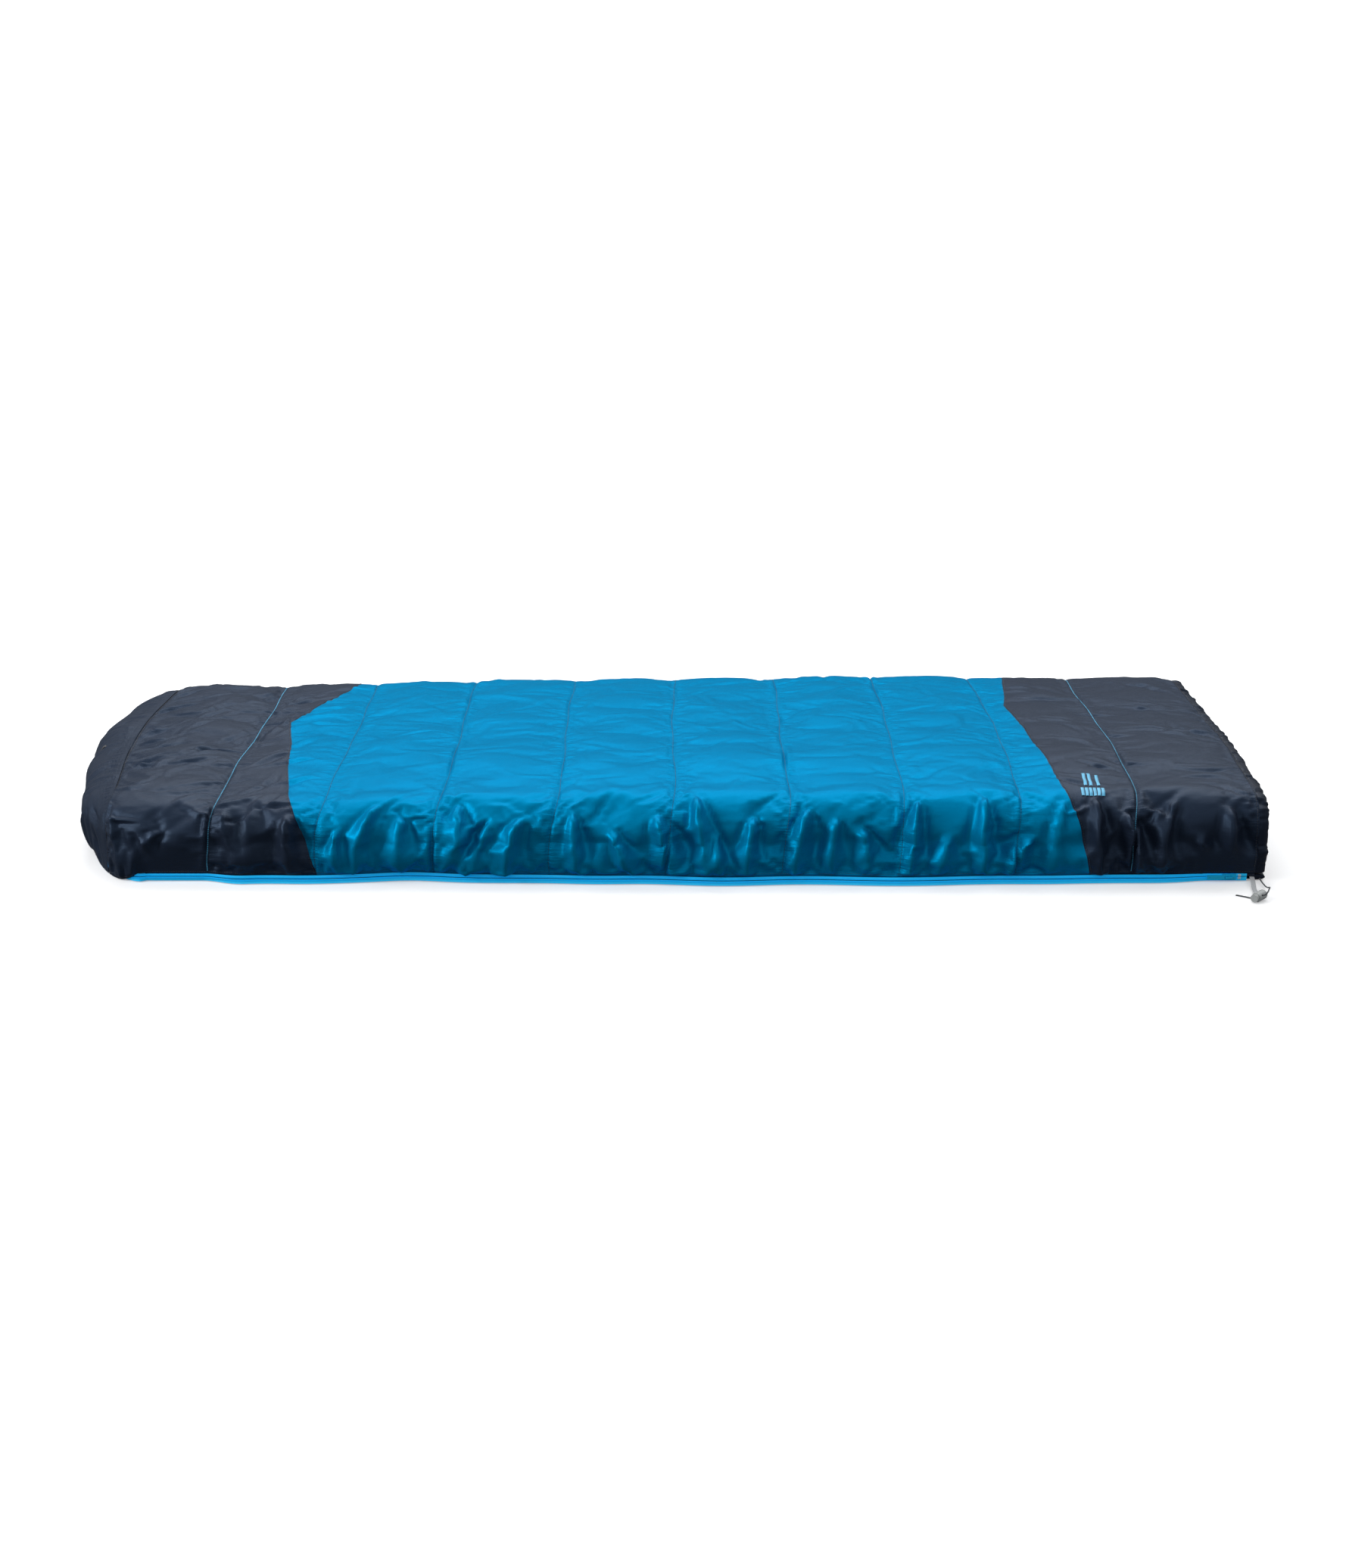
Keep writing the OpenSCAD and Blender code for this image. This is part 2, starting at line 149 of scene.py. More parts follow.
# ---------------------------------------------------------------- node materials
class Nodes:
    """Short hand for building a material's node tree."""

    def __init__(self, name):
        self.mat = bpy.data.materials.new(name)
        self.mat.use_nodes = True
        self.tree = self.mat.node_tree
        self.shader = next(n for n in self.tree.nodes if n.type == "BSDF_PRINCIPLED")

    def add(self, kind, **values):
        node = self.tree.nodes.new("ShaderNode" + kind)
        for key, value in values.items():
            if key in node.inputs:
                node.inputs[key].default_value = value
            else:
                setattr(node, key, value)
        return node

    def link(self, out, to):
        self.tree.links.new(out, to)

    def maths(self, op, a, b=None, c=None):
        node = self.add("Math", operation=op)
        for i, v in enumerate((a, b, c)):
            if v is None:
                continue
            if isinstance(v, (int, float)):
                node.inputs[i].default_value = v
            else:
                self.link(v, node.inputs[i])
        return node.outputs[0]

    def mix(self, factor, a, b, blend="MIX"):
        node = self.add("Mix", data_type="RGBA", blend_type=blend)
        for socket, v in ((node.inputs[0], factor), (node.inputs[6], a), (node.inputs[7], b)):
            if isinstance(v, (int, float, tuple)):
                socket.default_value = v if not isinstance(v, tuple) else (*v[:3], 1)
            else:
                self.link(v, socket)
        return node.outputs[2]

    def noise(self, vector, scale, detail=3.0, rough=0.55):
        node = self.add("TexNoise", Scale=scale, Detail=detail, Roughness=rough)
        self.link(vector, node.inputs["Vector"])
        return node.outputs[0]

    def stretched(self, vector, scale):
        node = self.add("Mapping")
        node.inputs["Scale"].default_value = scale
        self.link(vector, node.inputs["Vector"])
        return node.outputs[0]

    def bumped(self, height, distance, strength=1.0, under=None):
        node = self.add("Bump", Strength=strength, Distance=distance)
        self.link(height, node.inputs["Height"])
        if under is not None:
            self.link(under, node.inputs["Normal"])
        return node.outputs[0]

    def set(self, **values):
        for key, value in values.items():
            key = key.replace("_", " ")
            if isinstance(value, bpy.types.NodeSocket):
                self.link(value, self.shader.inputs[key])
            else:
                self.shader.inputs[key].default_value = value
        return self.mat


def weave_height(n, vector, threads_per_m):
    """A plain weave: warp and weft crossing, from two sine ridges."""
    split = n.add("SeparateXYZ")
    n.link(vector, split.inputs[0])
    k = threads_per_m * math.pi
    a = n.maths("SINE", n.maths("MULTIPLY", split.outputs[0], k))
    b = n.maths("SINE", n.maths("MULTIPLY", split.outputs[1], k))
    return n.maths("MULTIPLY", a, b)


def satin(name, colour, shade, gloss_tint, rough=0.36, level=0.28, metal=0.0, crinkle=0.7):
    """Calendered nylon: fine weave, crinkles that run out from the seams, and a soft satin gloss."""
    n = Nodes(name)
    uv = n.add("UVMap", uv_map="cloth").outputs[0]
    seam = n.add("Attribute", attribute_name="pucker").outputs[2]
    broad = n.noise(uv, 7.0, 2.0)
    mottled = n.noise(uv, 60.0, 3.0)
    tone = n.mix(n.maths("MULTIPLY", broad, 0.55), colour, shade)
    tone = n.mix(n.maths("MULTIPLY", mottled, 0.16), tone, shade)
    across = n.noise(n.stretched(uv, (22.0, 210.0, 1.0)), 1.0, 3.0, 0.6)
    loose = n.noise(n.stretched(uv, (34.0, 60.0, 1.0)), 1.0, 4.0, 0.6)
    ridges = n.maths("MULTIPLY", across, seam)
    first = n.bumped(ridges, 0.0042 * crinkle, 0.85)
    second = n.bumped(loose, 0.0018 * crinkle, 0.50, first)
    third = n.bumped(weave_height(n, uv, 1900.0), 0.00008, 0.5, second)
    gloss = n.maths("ADD", n.maths("MULTIPLY", mottled, 0.10), rough - 0.05)
    return n.set(Base_Color=tone, Roughness=gloss, Normal=third, Metallic=metal, Specular_IOR_Level=level,
                 Specular_Tint=(*gloss_tint, 1))


def cloth_plain(name, colour, shade, rough=0.7, threads=900.0, depth=0.0002, scale=90.0, **more):
    """Matt woven cloth: hem, webbing, tape."""
    n = Nodes(name)
    where = n.add("TexCoord").outputs["Object"]
    grain = n.noise(where, scale, 4.0)
    tone = n.mix(grain, colour, shade)
    wrinkles = n.bumped(grain, 0.0015, 0.5)
    split = n.add("SeparateXYZ")
    n.link(where, split.inputs[0])
    k = threads * math.pi
    a = n.maths("SINE", n.maths("MULTIPLY", n.maths("ADD", split.outputs[0], split.outputs[2]), k))
    b = n.maths("SINE", n.maths("MULTIPLY", n.maths("SUBTRACT", split.outputs[1], split.outputs[2]), k))
    woven = n.bumped(n.maths("MULTIPLY", a, b), depth, 0.7, wrinkles)
    return n.set(Base_Color=tone, Roughness=rough, Normal=woven, Sheen_Weight=0.2, **more)


def moulded(name, colour, shade, rough=0.3, metal=0.0, clear=0.0, seep=0.0, **more):
    """Moulded plastic or painted casting, with a faint flow pattern and worn sheen."""
    n = Nodes(name)
    where = n.add("TexCoord").outputs["Object"]
    flow = n.noise(where, 300.0, 3.0)
    tone = n.mix(flow, colour, shade)
    gloss = n.maths("ADD", n.maths("MULTIPLY", flow, 0.15), rough - 0.06)
    return n.set(Base_Color=tone, Roughness=gloss, Normal=n.bumped(flow, 0.00015, 0.4), Metallic=metal,
                 Coat_Weight=clear, Transmission_Weight=seep, Subsurface_Weight=0.15 if seep else 0.0,
                 Subsurface_Radius=(0.004, 0.004, 0.004), **more)


BLUE = satin("satin_blue", (0.0, 0.240, 0.47), (0.0, 0.200, 0.41), (0.0, 0.50, 0.85), 0.41, 0.02, 0.42)
DARK = satin("satin_navy", (0.012, 0.019, 0.037), (0.009, 0.014, 0.027), (0.40, 0.64, 1.0), 0.41, 0.40, 0.12)
BASE = satin("satin_base", (0.014, 0.019, 0.032), (0.009, 0.013, 0.022), (0.6, 0.75, 1.0), 0.42, 0.25)
LINING = satin("lining_cloth", (0.030, 0.042, 0.072), (0.020, 0.029, 0.052), (0.7, 0.8, 1.0), 0.5, 0.3)
HEM = satin("hem_cloth", (0.010, 0.014, 0.026), (0.007, 0.010, 0.018), (0.5, 0.7, 1.0), 0.36, 0.25)
THREAD_LIGHT = cloth_plain("thread_light_blue", (0.10, 0.50, 0.78), (0.05, 0.36, 0.62), 0.5, 2400.0, 0.0001)
THREAD_BLUE = cloth_plain("thread_blue", (0.0, 0.085, 0.19), (0.0, 0.06, 0.14), 0.5, 2400.0, 0.0001)
THREAD_DARK = cloth_plain("thread_dark", (0.008, 0.010, 0.018), (0.014, 0.018, 0.030), 0.5, 2400.0, 0.0001)
ZIP_PAINTED_GLOW = {"Emission_Color": (0.0, 0.42, 0.90, 1), "Emission_Strength": 0.22}       # painted glow: emission that brightens the zip, which sits in shade under the wall
# the zip's coils and tape below all take this painted glow
ZIP_COIL = moulded("zip_coil_blue", (0.0, 0.60, 0.97), (0.02, 0.66, 0.98), 0.36, clear=0.1, **ZIP_PAINTED_GLOW)
# the lower coil's blue is a slightly darker copy of the upper coil's: painted shade
ZIP_COIL_SHADED = moulded("zip_coil_blue_shaded", (0.0, 0.58, 0.96), (0.01, 0.64, 0.98), 0.38, clear=0.1,
                       **ZIP_PAINTED_GLOW)
ZIP_TAPE = cloth_plain("zip_tape_blue", (0.0, 0.60, 0.98), (0.0, 0.54, 0.94), 0.5, 1400.0, **ZIP_PAINTED_GLOW)
SLIDER = moulded("slider_blue", (0.0, 0.50, 0.90), (0.0, 0.54, 0.92), 0.28, 0.0, 0.3)
STOP = moulded("stop_pale", (0.55, 0.72, 0.82), (0.68, 0.80, 0.86), 0.35)
LOCK = moulded("lock_plastic", (0.60, 0.63, 0.62), (0.72, 0.74, 0.73), 0.22, clear=0.35, seep=0.25)
STEEL = moulded("spring_steel", (0.50, 0.51, 0.52), (0.36, 0.37, 0.38), 0.25, 1.0)
CORD = cloth_plain("cord_grey", (0.055, 0.063, 0.070), (0.11, 0.12, 0.13), 0.6, 1600.0, 0.0003, 600.0)
WEB_GREY = cloth_plain("webbing_grey", (0.48, 0.50, 0.51), (0.62, 0.64, 0.65), 0.6, 700.0, 0.0004, 500.0)
WEB_BLACK = cloth_plain("webbing_black", (0.010, 0.010, 0.012), (0.020, 0.020, 0.024), 0.6, 700.0, 0.0004,
                        500.0)
MARK = cloth_plain("mark_light_blue", (0.12, 0.52, 0.80), (0.09, 0.45, 0.72), 0.45, 1200.0, 0.0001)


# ---------------------------------------------------------------- meshes from grids of points
def lie(points):
    """How the real bag lies: near foot corner drawn in, foot end bowed, head end swung out at the back."""
    p = np.array(points, float)
    x, y = p[..., 0].copy(), p[..., 1].copy()
    corner = ramp(-x, 0.852, 1.02) * ramp(-y, 0.05, 0.37)
    p[..., 0] += 0.030 * corner - 0.041 * ramp(-x, 0.90, 1.03) * bump(y, 0.11, 0.21)
    p[..., 0] += ramp(x, 0.82, 1.02) * (0.020 * ramp(y, -0.25, 0.30) + 0.014 * bump(y, -0.10, 0.20))
    p[..., 1] += 0.026 * corner
    return p


def build(name, verts, faces, materials, body=BODY_TOP, uv=None, pucker=None, laid=True):
    """A smooth mesh from arrays; laid puts it down as the real bag lies."""
    mesh = bpy.data.meshes.new(name)
    verts = lie(verts) if laid else np.asarray(verts, float)
    if laid:
        verts[:, 2] = np.maximum(verts[:, 2], 0.0002)
    mesh.vertices.add(len(verts))
    mesh.vertices.foreach_set("co", verts.ravel())
    faces = np.asarray(faces, np.int64)
    n, k = faces.shape
    mesh.loops.add(n * k)
    mesh.loops.foreach_set("vertex_index", faces.ravel())
    mesh.polygons.add(n)
    mesh.polygons.foreach_set("loop_start", np.arange(n) * k)
    mesh.polygons.foreach_set("loop_total", np.full(n, k))
    mesh.polygons.foreach_set("use_smooth", np.full(n, True))
    if uv is not None:
        layer = mesh.uv_layers.new(name="cloth")
        layer.data.foreach_set("uv", np.asarray(uv, float)[faces.ravel()].ravel())
    if pucker is not None:
        layer = mesh.attributes.new("pucker", "FLOAT", "POINT")
        layer.data.foreach_set("value", np.asarray(pucker, float).ravel())
    mesh.update(calc_edges=True)
    mesh.validate()
    for m in materials:
        mesh.materials.append(m)
    obj = put(name, mesh)
    if body:
        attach(obj, body)
    return obj


def grid_faces(rows, cols, close_cols=False, base=0):
    """Quads of a grid of vertices, given row by row."""
    r, c = np.meshgrid(np.arange(rows - 1), np.arange(cols if close_cols else cols - 1), indexing="ij")
    r2, c2 = (r + 1) % rows, (c + 1) % cols
    quads = np.stack([r * cols + c, r2 * cols + c, r2 * cols + c2, r * cols + c2], -1)
    return quads.reshape(-1, 4) + base


def build_grid(name, points, uv, pucker, material, body):
    """A sheet of one material from a grid of points."""
    faces = grid_faces(*points.shape[:2])
    return build(name, points.reshape(-1, 3), faces, [material], body, uv.reshape(-1, 2), pucker)


def normals_of(points):
    return unit(np.cross(np.gradient(points, axis=0), np.gradient(points, axis=1)))


def thick_sheet(name, points, depth, materials, body):
    """A sheet of cloth with a real thickness: the grid, a second grid below it, and closed edges."""
    rows, cols = points.shape[:2]
    inner = points - normals_of(points) * depth
    top = grid_faces(rows, cols)
    low = grid_faces(rows, cols, base=rows * cols)[:, ::-1]
    off = rows * cols
    rim = np.concatenate([np.arange(cols), np.arange(1, rows) * cols + cols - 1,
                          off - cols + np.arange(cols - 2, -1, -1), np.arange(rows - 2, 0, -1) * cols])
    nxt = np.roll(rim, -1)
    edge = np.stack([nxt, rim, rim + off, nxt + off], -1)
    verts = np.concatenate([points.reshape(-1, 3), inner.reshape(-1, 3)])
    return build(name, verts, np.concatenate([top, low, edge]), materials, body)


def fan(centre, ring, flip=False):
    """Triangles that close a ring of vertices to one in its middle."""
    out = np.stack([np.full(len(ring), centre), ring, np.roll(ring, -1)], -1)
    return out[:, ::-1] if flip else out


def halved(quads):
    """Two triangles for each quad."""
    return np.concatenate([quads[:, [0, 1, 2]], quads[:, [0, 2, 3]]])


def capped_tube(rows, sides):
    """Triangles of a tube of rings, closed at both ends to two more vertices after the rings'."""
    n, k = rows * sides, np.arange(sides)
    return np.concatenate([halved(grid_faces(rows, sides, close_cols=True)), fan(n, k),
                           fan(n + 1, n - sides + k, True)])


def tube(points, radius, sides=8):
    """Vertices and triangles of a closed tube along points."""
    p = np.asarray(points, float)
    t = unit(np.gradient(p, axis=0))
    u = np.zeros_like(p)
    guide = np.array([0.13, 0.21, 0.97]) if abs(t[0][2]) < 0.9 else np.array([1.0, 0.1, 0.0])
    u[0] = np.cross(t[0], guide)
    u[0] /= np.linalg.norm(u[0])
    for i in range(1, len(p)):
        w = u[i - 1] - t[i] * np.dot(u[i - 1], t[i])
        u[i] = w / np.linalg.norm(w)
    v = np.cross(t, u)
    a = 2 * np.pi * np.arange(sides) / sides
    ring = radius * (np.cos(a)[None, :, None] * u[:, None] + np.sin(a)[None, :, None] * v[:, None])
    verts = np.concatenate([(p[:, None] + ring).reshape(-1, 3), p[:1], p[-1:]])
    k, n = np.arange(sides), len(p) * sides
    quads = grid_faces(len(p), sides, close_cols=True)[:, ::-1]
    return verts, np.concatenate([halved(quads), fan(n, k), fan(n + 1, n - sides + k, True)])


class Soup:
    """Gathers many small shapes into one mesh of triangles."""

    def __init__(self):
        self.verts, self.faces, self.count = [], [], 0

    def add(self, verts, faces):
        verts = np.asarray(verts, float)
        faces = np.asarray(faces, np.int64)
        if faces.shape[1] == 4:
            faces = halved(faces)
        self.verts.append(verts)
        self.faces.append(faces + self.count)
        self.count += len(verts)

    def build(self, name, material, body):
        return build(name, np.concatenate(self.verts), np.concatenate(self.faces), [material], body)


# ---------------------------------------------------------------- drawcord tail
CORD_D = 0.0025


def drawcord():
    """From the hem, over the lock, through its hole, and out along the floor: the route of the CAD tail."""
    route = ((1027, -391.4, 6.3), (1027, -398, 6.2), (1027.5, -406, 5.4), (1028.5, -414, 4.6),
             (1029, -422, 4.6), (1029, -430, 6.0), (1028.5, -438, 8.6), (1027.5, -446, 11.8),
             (1026, -454, 15.2), (1024, -462, 18.4), (1021.5, -470, 20.6), (1018.5, -477.5, 21.0),
             (1015, -483.5, 18.8), (1011.2, -485.8, 15.6), (1007.8, -482.4, 12.7), (1005, -479.6, 10.4),
             (1002.2, -476.8, 8.2), (999.4, -474, 5.9), (996.7, -471.3, 3.6), (993.5, -468.2, 2.0),
             (989, -464.6, 1.4), (983, -460.6, 1.3), (977, -457, 1.3), (971, -454, 1.3))
    points = [(x / 1000, y / 1000 + SHIFT, z / 1000) for x, y, z in route]
    curve = bpy.data.curves.new("drawcord", "CURVE")
    curve.dimensions, curve.bevel_depth, curve.bevel_resolution = "3D", CORD_D / 2, 5
    curve.resolution_u, curve.use_fill_caps = 6, True
    spline = curve.splines.new("BEZIER")
    spline.bezier_points.add(len(points) - 1)
    for knot, p in zip(spline.bezier_points, points):
        knot.co = p
        knot.handle_left_type = knot.handle_right_type = "AUTO"
    curve.materials.append(CORD)
    obj = put("drawcord", curve)
    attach(obj, BODY_BASE)
    stand_for(obj, "cord_grey", "drawcord_tail")


drawcord()


# ---------------------------------------------------------------- form of the bag
def ease_out(k, power=2.45):
    """Quarter of a squared-off circle: 0 at the wall, 1 at the top, steep first."""
    return (1 - (1 - np.clip(k, 0, 1)) ** power) ** (1 / power)


def half_width(x, t=0.0, foot=HALF_L):
    """Half width of the plan outline at x, t inside the outer face, with the foot end at -foot."""
    dx = np.clip(-(np.asarray(x, float) + ARC_X) / (foot - t - ARC_X), 0, 1)
    return ARC_Y + (CORNER_R - t) * np.sqrt(1 - dx**2)


def inset(x, y, t=0.0):
    """Distance inside the plan outline, which is open at the head."""
    dx, dy = -(x + ARC_X), np.abs(y) - ARC_Y
    r = CORNER_R - t
    corner = r - np.hypot(np.maximum(dx, 0), np.maximum(dy, 0))
    return np.where((dx > 0) & (dy > 0), corner, np.minimum(r - dx, r - dy))


def crown(x):
    """Height of the middle of the bag before the cloth is settled: lower at the foot and at the hem."""
    return (0.1400 + 0.0120 * ramp(x, -0.95, 0.1) - 0.002 * ramp(x, 0.985, HEM_X))


def surface_z(x, y, t=0.0):
    top = crown(x) - t
    side = np.clip(y / HALF_W, -1, 1)
    edge = top - 0.0090 + 0.0065 * side + 0.016 * ramp(x, 0.72, 1.0) * ramp(-side, 0.2, 0.8)
    d = inset(x, y, t)
    return FOLD_Z + (edge - FOLD_Z) * ease_out(d / (SHOULDER_R - t)) + (top - edge) * ramp(d, 0.02, 0.26)


WAVES = ((-0.76, 0.075, 0.008), (-0.60, 0.06, 0.004), (-0.42, 0.075, -0.011), (-0.10, 0.07, 0.005),
         (0.11, 0.11, 0.013), (0.41, 0.15, 0.013), (0.66, 0.08, 0.004), (0.90, 0.03, 0.002))


def calm(x):
    """1 along the zip, 0 where the slider stands at either end of its run."""
    return ramp(x, -0.775, -0.700) * (1 - ramp(x, 0.84, 0.950))


def zip_wave(x):
    """How far the zip wanders outward along the near side; nothing where the slider stands at its limits."""
    return sum(h * bump(x, at, w) for at, w, h in WAVES) * calm(x)


def nearest_seam(s):
    """Distance to the nearest quilting seam, and how far along its channel (0 to 1) s lies."""
    s = np.asarray(s, float)
    k = np.clip(np.searchsorted(LINES, s, side="right") - 1, 0, len(LINES) - 2)
    left, right = LINES[k], LINES[k + 1]
    return np.minimum(np.abs(s - left), np.abs(right - s)), np.clip((s - left) / (right - left), 0, 1)


def puff(s):
    """Fullness of the quilted channels, 0 at a seam and 1 in the middle."""
    return np.sin(np.pi * nearest_seam(s)[1]) ** 0.55


def seam_lean(v):
    """How far footward the seams lean on the near wall."""
    return 0.014 * (1 - ramp(v, 0.0, 0.19))


def along(s, v):
    """x of the seam coordinate s at v: seams lean footward on the near wall and waver a little."""
    held = ramp(s, SEAM_A, SEAM_A + 0.10) * (1 - ramp(s, 0.93, 1.0))
    waver = 0.0030 * np.sin(v * 9.0 + s * 5.0) + 0.0012 * np.sin(v * 31.0 + s * 17.0)
    return s + held * (waver * ramp(v, 0.0, 0.06) - seam_lean(v))


NEAR_LOW, SHOULDER_ARC = FOLD_Z - ZIP_Z, 0.112
CROWN_ARC = 2 * (HALF_W - SHOULDER_R)
GIRTH = NEAR_LOW + SHOULDER_ARC + CROWN_ARC + SHOULDER_ARC
V_FAR = GIRTH - SHOULDER_ARC


def round_shoulder(share):
    """Inset, as a share of the shoulder's radius, at a share of the way round it."""
    return 1 - np.cos(np.clip(share, 0, 1) * np.pi / 2) ** (2 / 2.45)


def wall_profile(drop):
    """How the low part of a wall turns in, from 0 at the fold height to 1 at the zip."""
    return np.clip(drop, 0, 1) ** 2.1


def body_point(s, v, t=0.0):
    """Resting form of the top quilt at s along the bag and v round it, from the zip over to the fold."""
    s, v = np.broadcast_arrays(np.asarray(s, float), np.asarray(v, float))
    x = along(s, v)
    half, low_half = half_width(x, t), half_width(x, t, LOW_FOOT)
    radius = SHOULDER_R - t
    near = np.clip((v - NEAR_LOW) / SHOULDER_ARC, 0, 1)
    mid = np.clip((v - NEAR_LOW - SHOULDER_ARC) / CROWN_ARC, 0, 1)
    far = np.clip((v - V_FAR) / SHOULDER_ARC, 0, 1)
    y = (-half + radius * round_shoulder(near) + 2 * (half - radius) * mid
         + radius * (1 - round_shoulder(1 - far)))
    drop = np.clip(1 - v / NEAR_LOW, 0, 1)
    wall_y = -half + (half - low_half) * wall_profile(drop) - zip_wave(x) * drop**1.4
    wall_y = wall_y - 0.005 * np.sin(np.pi * drop) ** 2 * (t == 0)
    wall = v < NEAR_LOW
    z = np.where(wall, FOLD_Z - NEAR_LOW * drop, surface_z(x, y, t))
    return np.stack([x, np.where(wall, wall_y, y), z], -1)


ARC_LEN = CORNER_R * math.pi / 2
SIDE_LEN = HEM_X + ARC_X
EDGE_LEN = 2 * SIDE_LEN + 2 * ARC_LEN + 2 * ARC_Y
START_MID = SIDE_LEN + CORNER_R * math.asin((-SEAM_A - ARC_X) / CORNER_R)
START_LOW = SIDE_LEN + CORNER_R * math.asin((-SEAM_A - ARC_X) / (LOW_FOOT - ARC_X))


def edge_point(run, t=0.0, foot=HALF_L):
    """x and y of the outline at a run along it: head to foot on the near side, round the foot, and back."""
    run = np.asarray(run, float)
    mirrored = run > EDGE_LEN / 2
    r = np.where(mirrored, EDGE_LEN - run, run)
    turn = np.clip((r - SIDE_LEN) / CORNER_R, 0, math.pi / 2)
    across = np.clip(r - SIDE_LEN - ARC_LEN, 0, None)
    x = -ARC_X - (foot - t - ARC_X) * np.sin(turn) + np.clip(SIDE_LEN - r, 0, None)
    y = -ARC_Y - (CORNER_R - t) * np.cos(turn) + across
    return x, np.where(mirrored, -y, y)


def cap_point(a, b, t=0.0):
    """Foot cap: a runs along the outline, 0 to 1; b up the wall, 0 to 1, then over to the seam, 1 to 2."""
    a, b = np.broadcast_arrays(np.asarray(a, float), np.asarray(b, float))
    mid_x, mid_y = edge_point(START_MID + (EDGE_LEN - 2 * START_MID) * a, t)
    low_x, low_y = edge_point(START_LOW + (EDGE_LEN - 2 * START_LOW) * a, t, LOW_FOOT)
    drop = np.clip(1 - b, 0, 1)
    k = wall_profile(drop)
    x, y = mid_x + (low_x - mid_x) * k, mid_y + (low_y - mid_y) * k
    reach = np.maximum(SEAM_A - mid_x, 0)
    x = x + reach * round_shoulder(b - 1) * (b > 1)
    z = np.where(b > 1, surface_z(x, y, t), FOLD_Z - NEAR_LOW * drop)
    return np.stack([x, y, z], -1)


def outward(point, s, v, h=0.0004):
    """Unit normals of a form at the points (s, v)."""
    return unit(np.cross(point(s + h, v) - point(s - h, v), point(s, v + h) - point(s, v - h)))


# ---------------------------------------------------------------- creases
def crease(field, us, vs, u0, v0, angle, length, width, height, bend=0.0, ends=0.5):
    """Adds one soft ridge (or valley, if height < 0) to a height field on the grid us by vs."""
    reach = length / 2 + 3 * width
    i0, i1 = np.searchsorted(us, (u0 - reach, u0 + reach))
    j0, j1 = np.searchsorted(vs, (v0 - reach, v0 + reach))
    if i1 - i0 < 2 or j1 - j0 < 2:
        return
    du = us[i0:i1, None] - u0
    dv = vs[None, j0:j1] - v0
    c, s = math.cos(angle), math.sin(angle)
    a = (du * c + dv * s) / (length / 2)
    b = (-du * s + dv * c) - bend * a * a * length / 2
    taper = np.clip(1 - np.abs(a), 0, 1) ** ends
    w = width * (0.55 + 0.45 * (1 - np.clip(np.abs(a), 0, 1)))
    shape = np.exp(-((b / w) ** 2)) - 0.35 * np.exp(-(((b - 1.7 * w) / (1.3 * w)) ** 2))
    field[i0:i1, j0:j1] += height * taper * shape


def tent(field, us, vs, top_at, low_at, width, height):
    """A sharp fold that starts as a pinch at top_at, opens downward and breaks up at low_at."""
    (u0, v0), (u1, v1) = top_at, low_at
    length = math.hypot(u1 - u0, v1 - v0)
    i0, i1 = np.searchsorted(us, (min(u0, u1) - 2.6 * width, max(u0, u1) + 2.6 * width))
    j0, j1 = np.searchsorted(vs, (min(v0, v1) - 0.01, max(v0, v1) + 0.01))
    if i1 - i0 < 2 or j1 - j0 < 2:
        return
    du, dv = us[i0:i1, None] - u0, vs[None, j0:j1] - v0
    c, s = (u1 - u0) / length, (v1 - v0) / length
    a = np.clip((du * c + dv * s) / length, 0, 1)
    b = -du * s + dv * c - 0.10 * length * (a - 0.5) ** 2
    w = width * (0.22 + 0.78 * a**0.8) * (1 - 0.25 * ramp(a, 0.75, 1.0))
    tall = ramp(a, 0.0, 0.22) * (1 - 0.55 * ramp(a, 0.55, 1.0))
    side = np.where(b > 0, 0.72, 1.25)
    field[i0:i1, j0:j1] += height * tall * (np.exp(-np.abs(b / (w * side)) ** 1.12)
                                            - 0.30 * np.exp(-((np.abs(b) - 1.9 * w) / (0.8 * w)) ** 2))


def catmull(t):
    """Weights of the four lattice points round a share t between the middle two."""
    return (-t / 2 + t**2 - t**3 / 2, 1 - 2.5 * t**2 + 1.5 * t**3,
            t / 2 + 2 * t**2 - 1.5 * t**3, -t**2 / 2 + t**3 / 2)


def smooth_noise(us, vs, cell_u, cell_v, seed):
    """Smooth random field, about 0 +- 1, from a coarse lattice."""
    rng = np.random.default_rng(seed)
    nu, nv = int((us[-1] - us[0]) / cell_u) + 5, int((vs[-1] - vs[0]) / cell_v) + 5
    lattice = rng.normal(0, 1, (nu, nv))

    def weights(x, cell, n):
        f = (x - x[0]) / cell + 1
        i = np.clip(np.floor(f).astype(int), 1, n - 3)
        w = np.zeros((len(x), n))
        for off, c in zip((-1, 0, 1, 2), catmull(f - i)):
            w[np.arange(len(x)), i + off] = c
        return w
    return weights(us, cell_u, nu) @ lattice @ weights(vs, cell_v, nv).T


def sign(rng, up=0.6):
    return 1 if rng.random() < up else -1


def scatter(rng, f, us, vs, count, box, lengths, widths, heights, lean, spread, up=0.6, bend=0.3):
    """Strews soft creases over box = (u0, u1, v0, v1)."""
    for _ in range(count):
        crease(f, us, vs, rng.uniform(*box[:2]), rng.uniform(*box[2:]), rng.normal(lean, spread),
               rng.uniform(*lengths), rng.uniform(*widths), sign(rng, up) * rng.uniform(*heights),
               rng.normal(0, bend), 0.9)


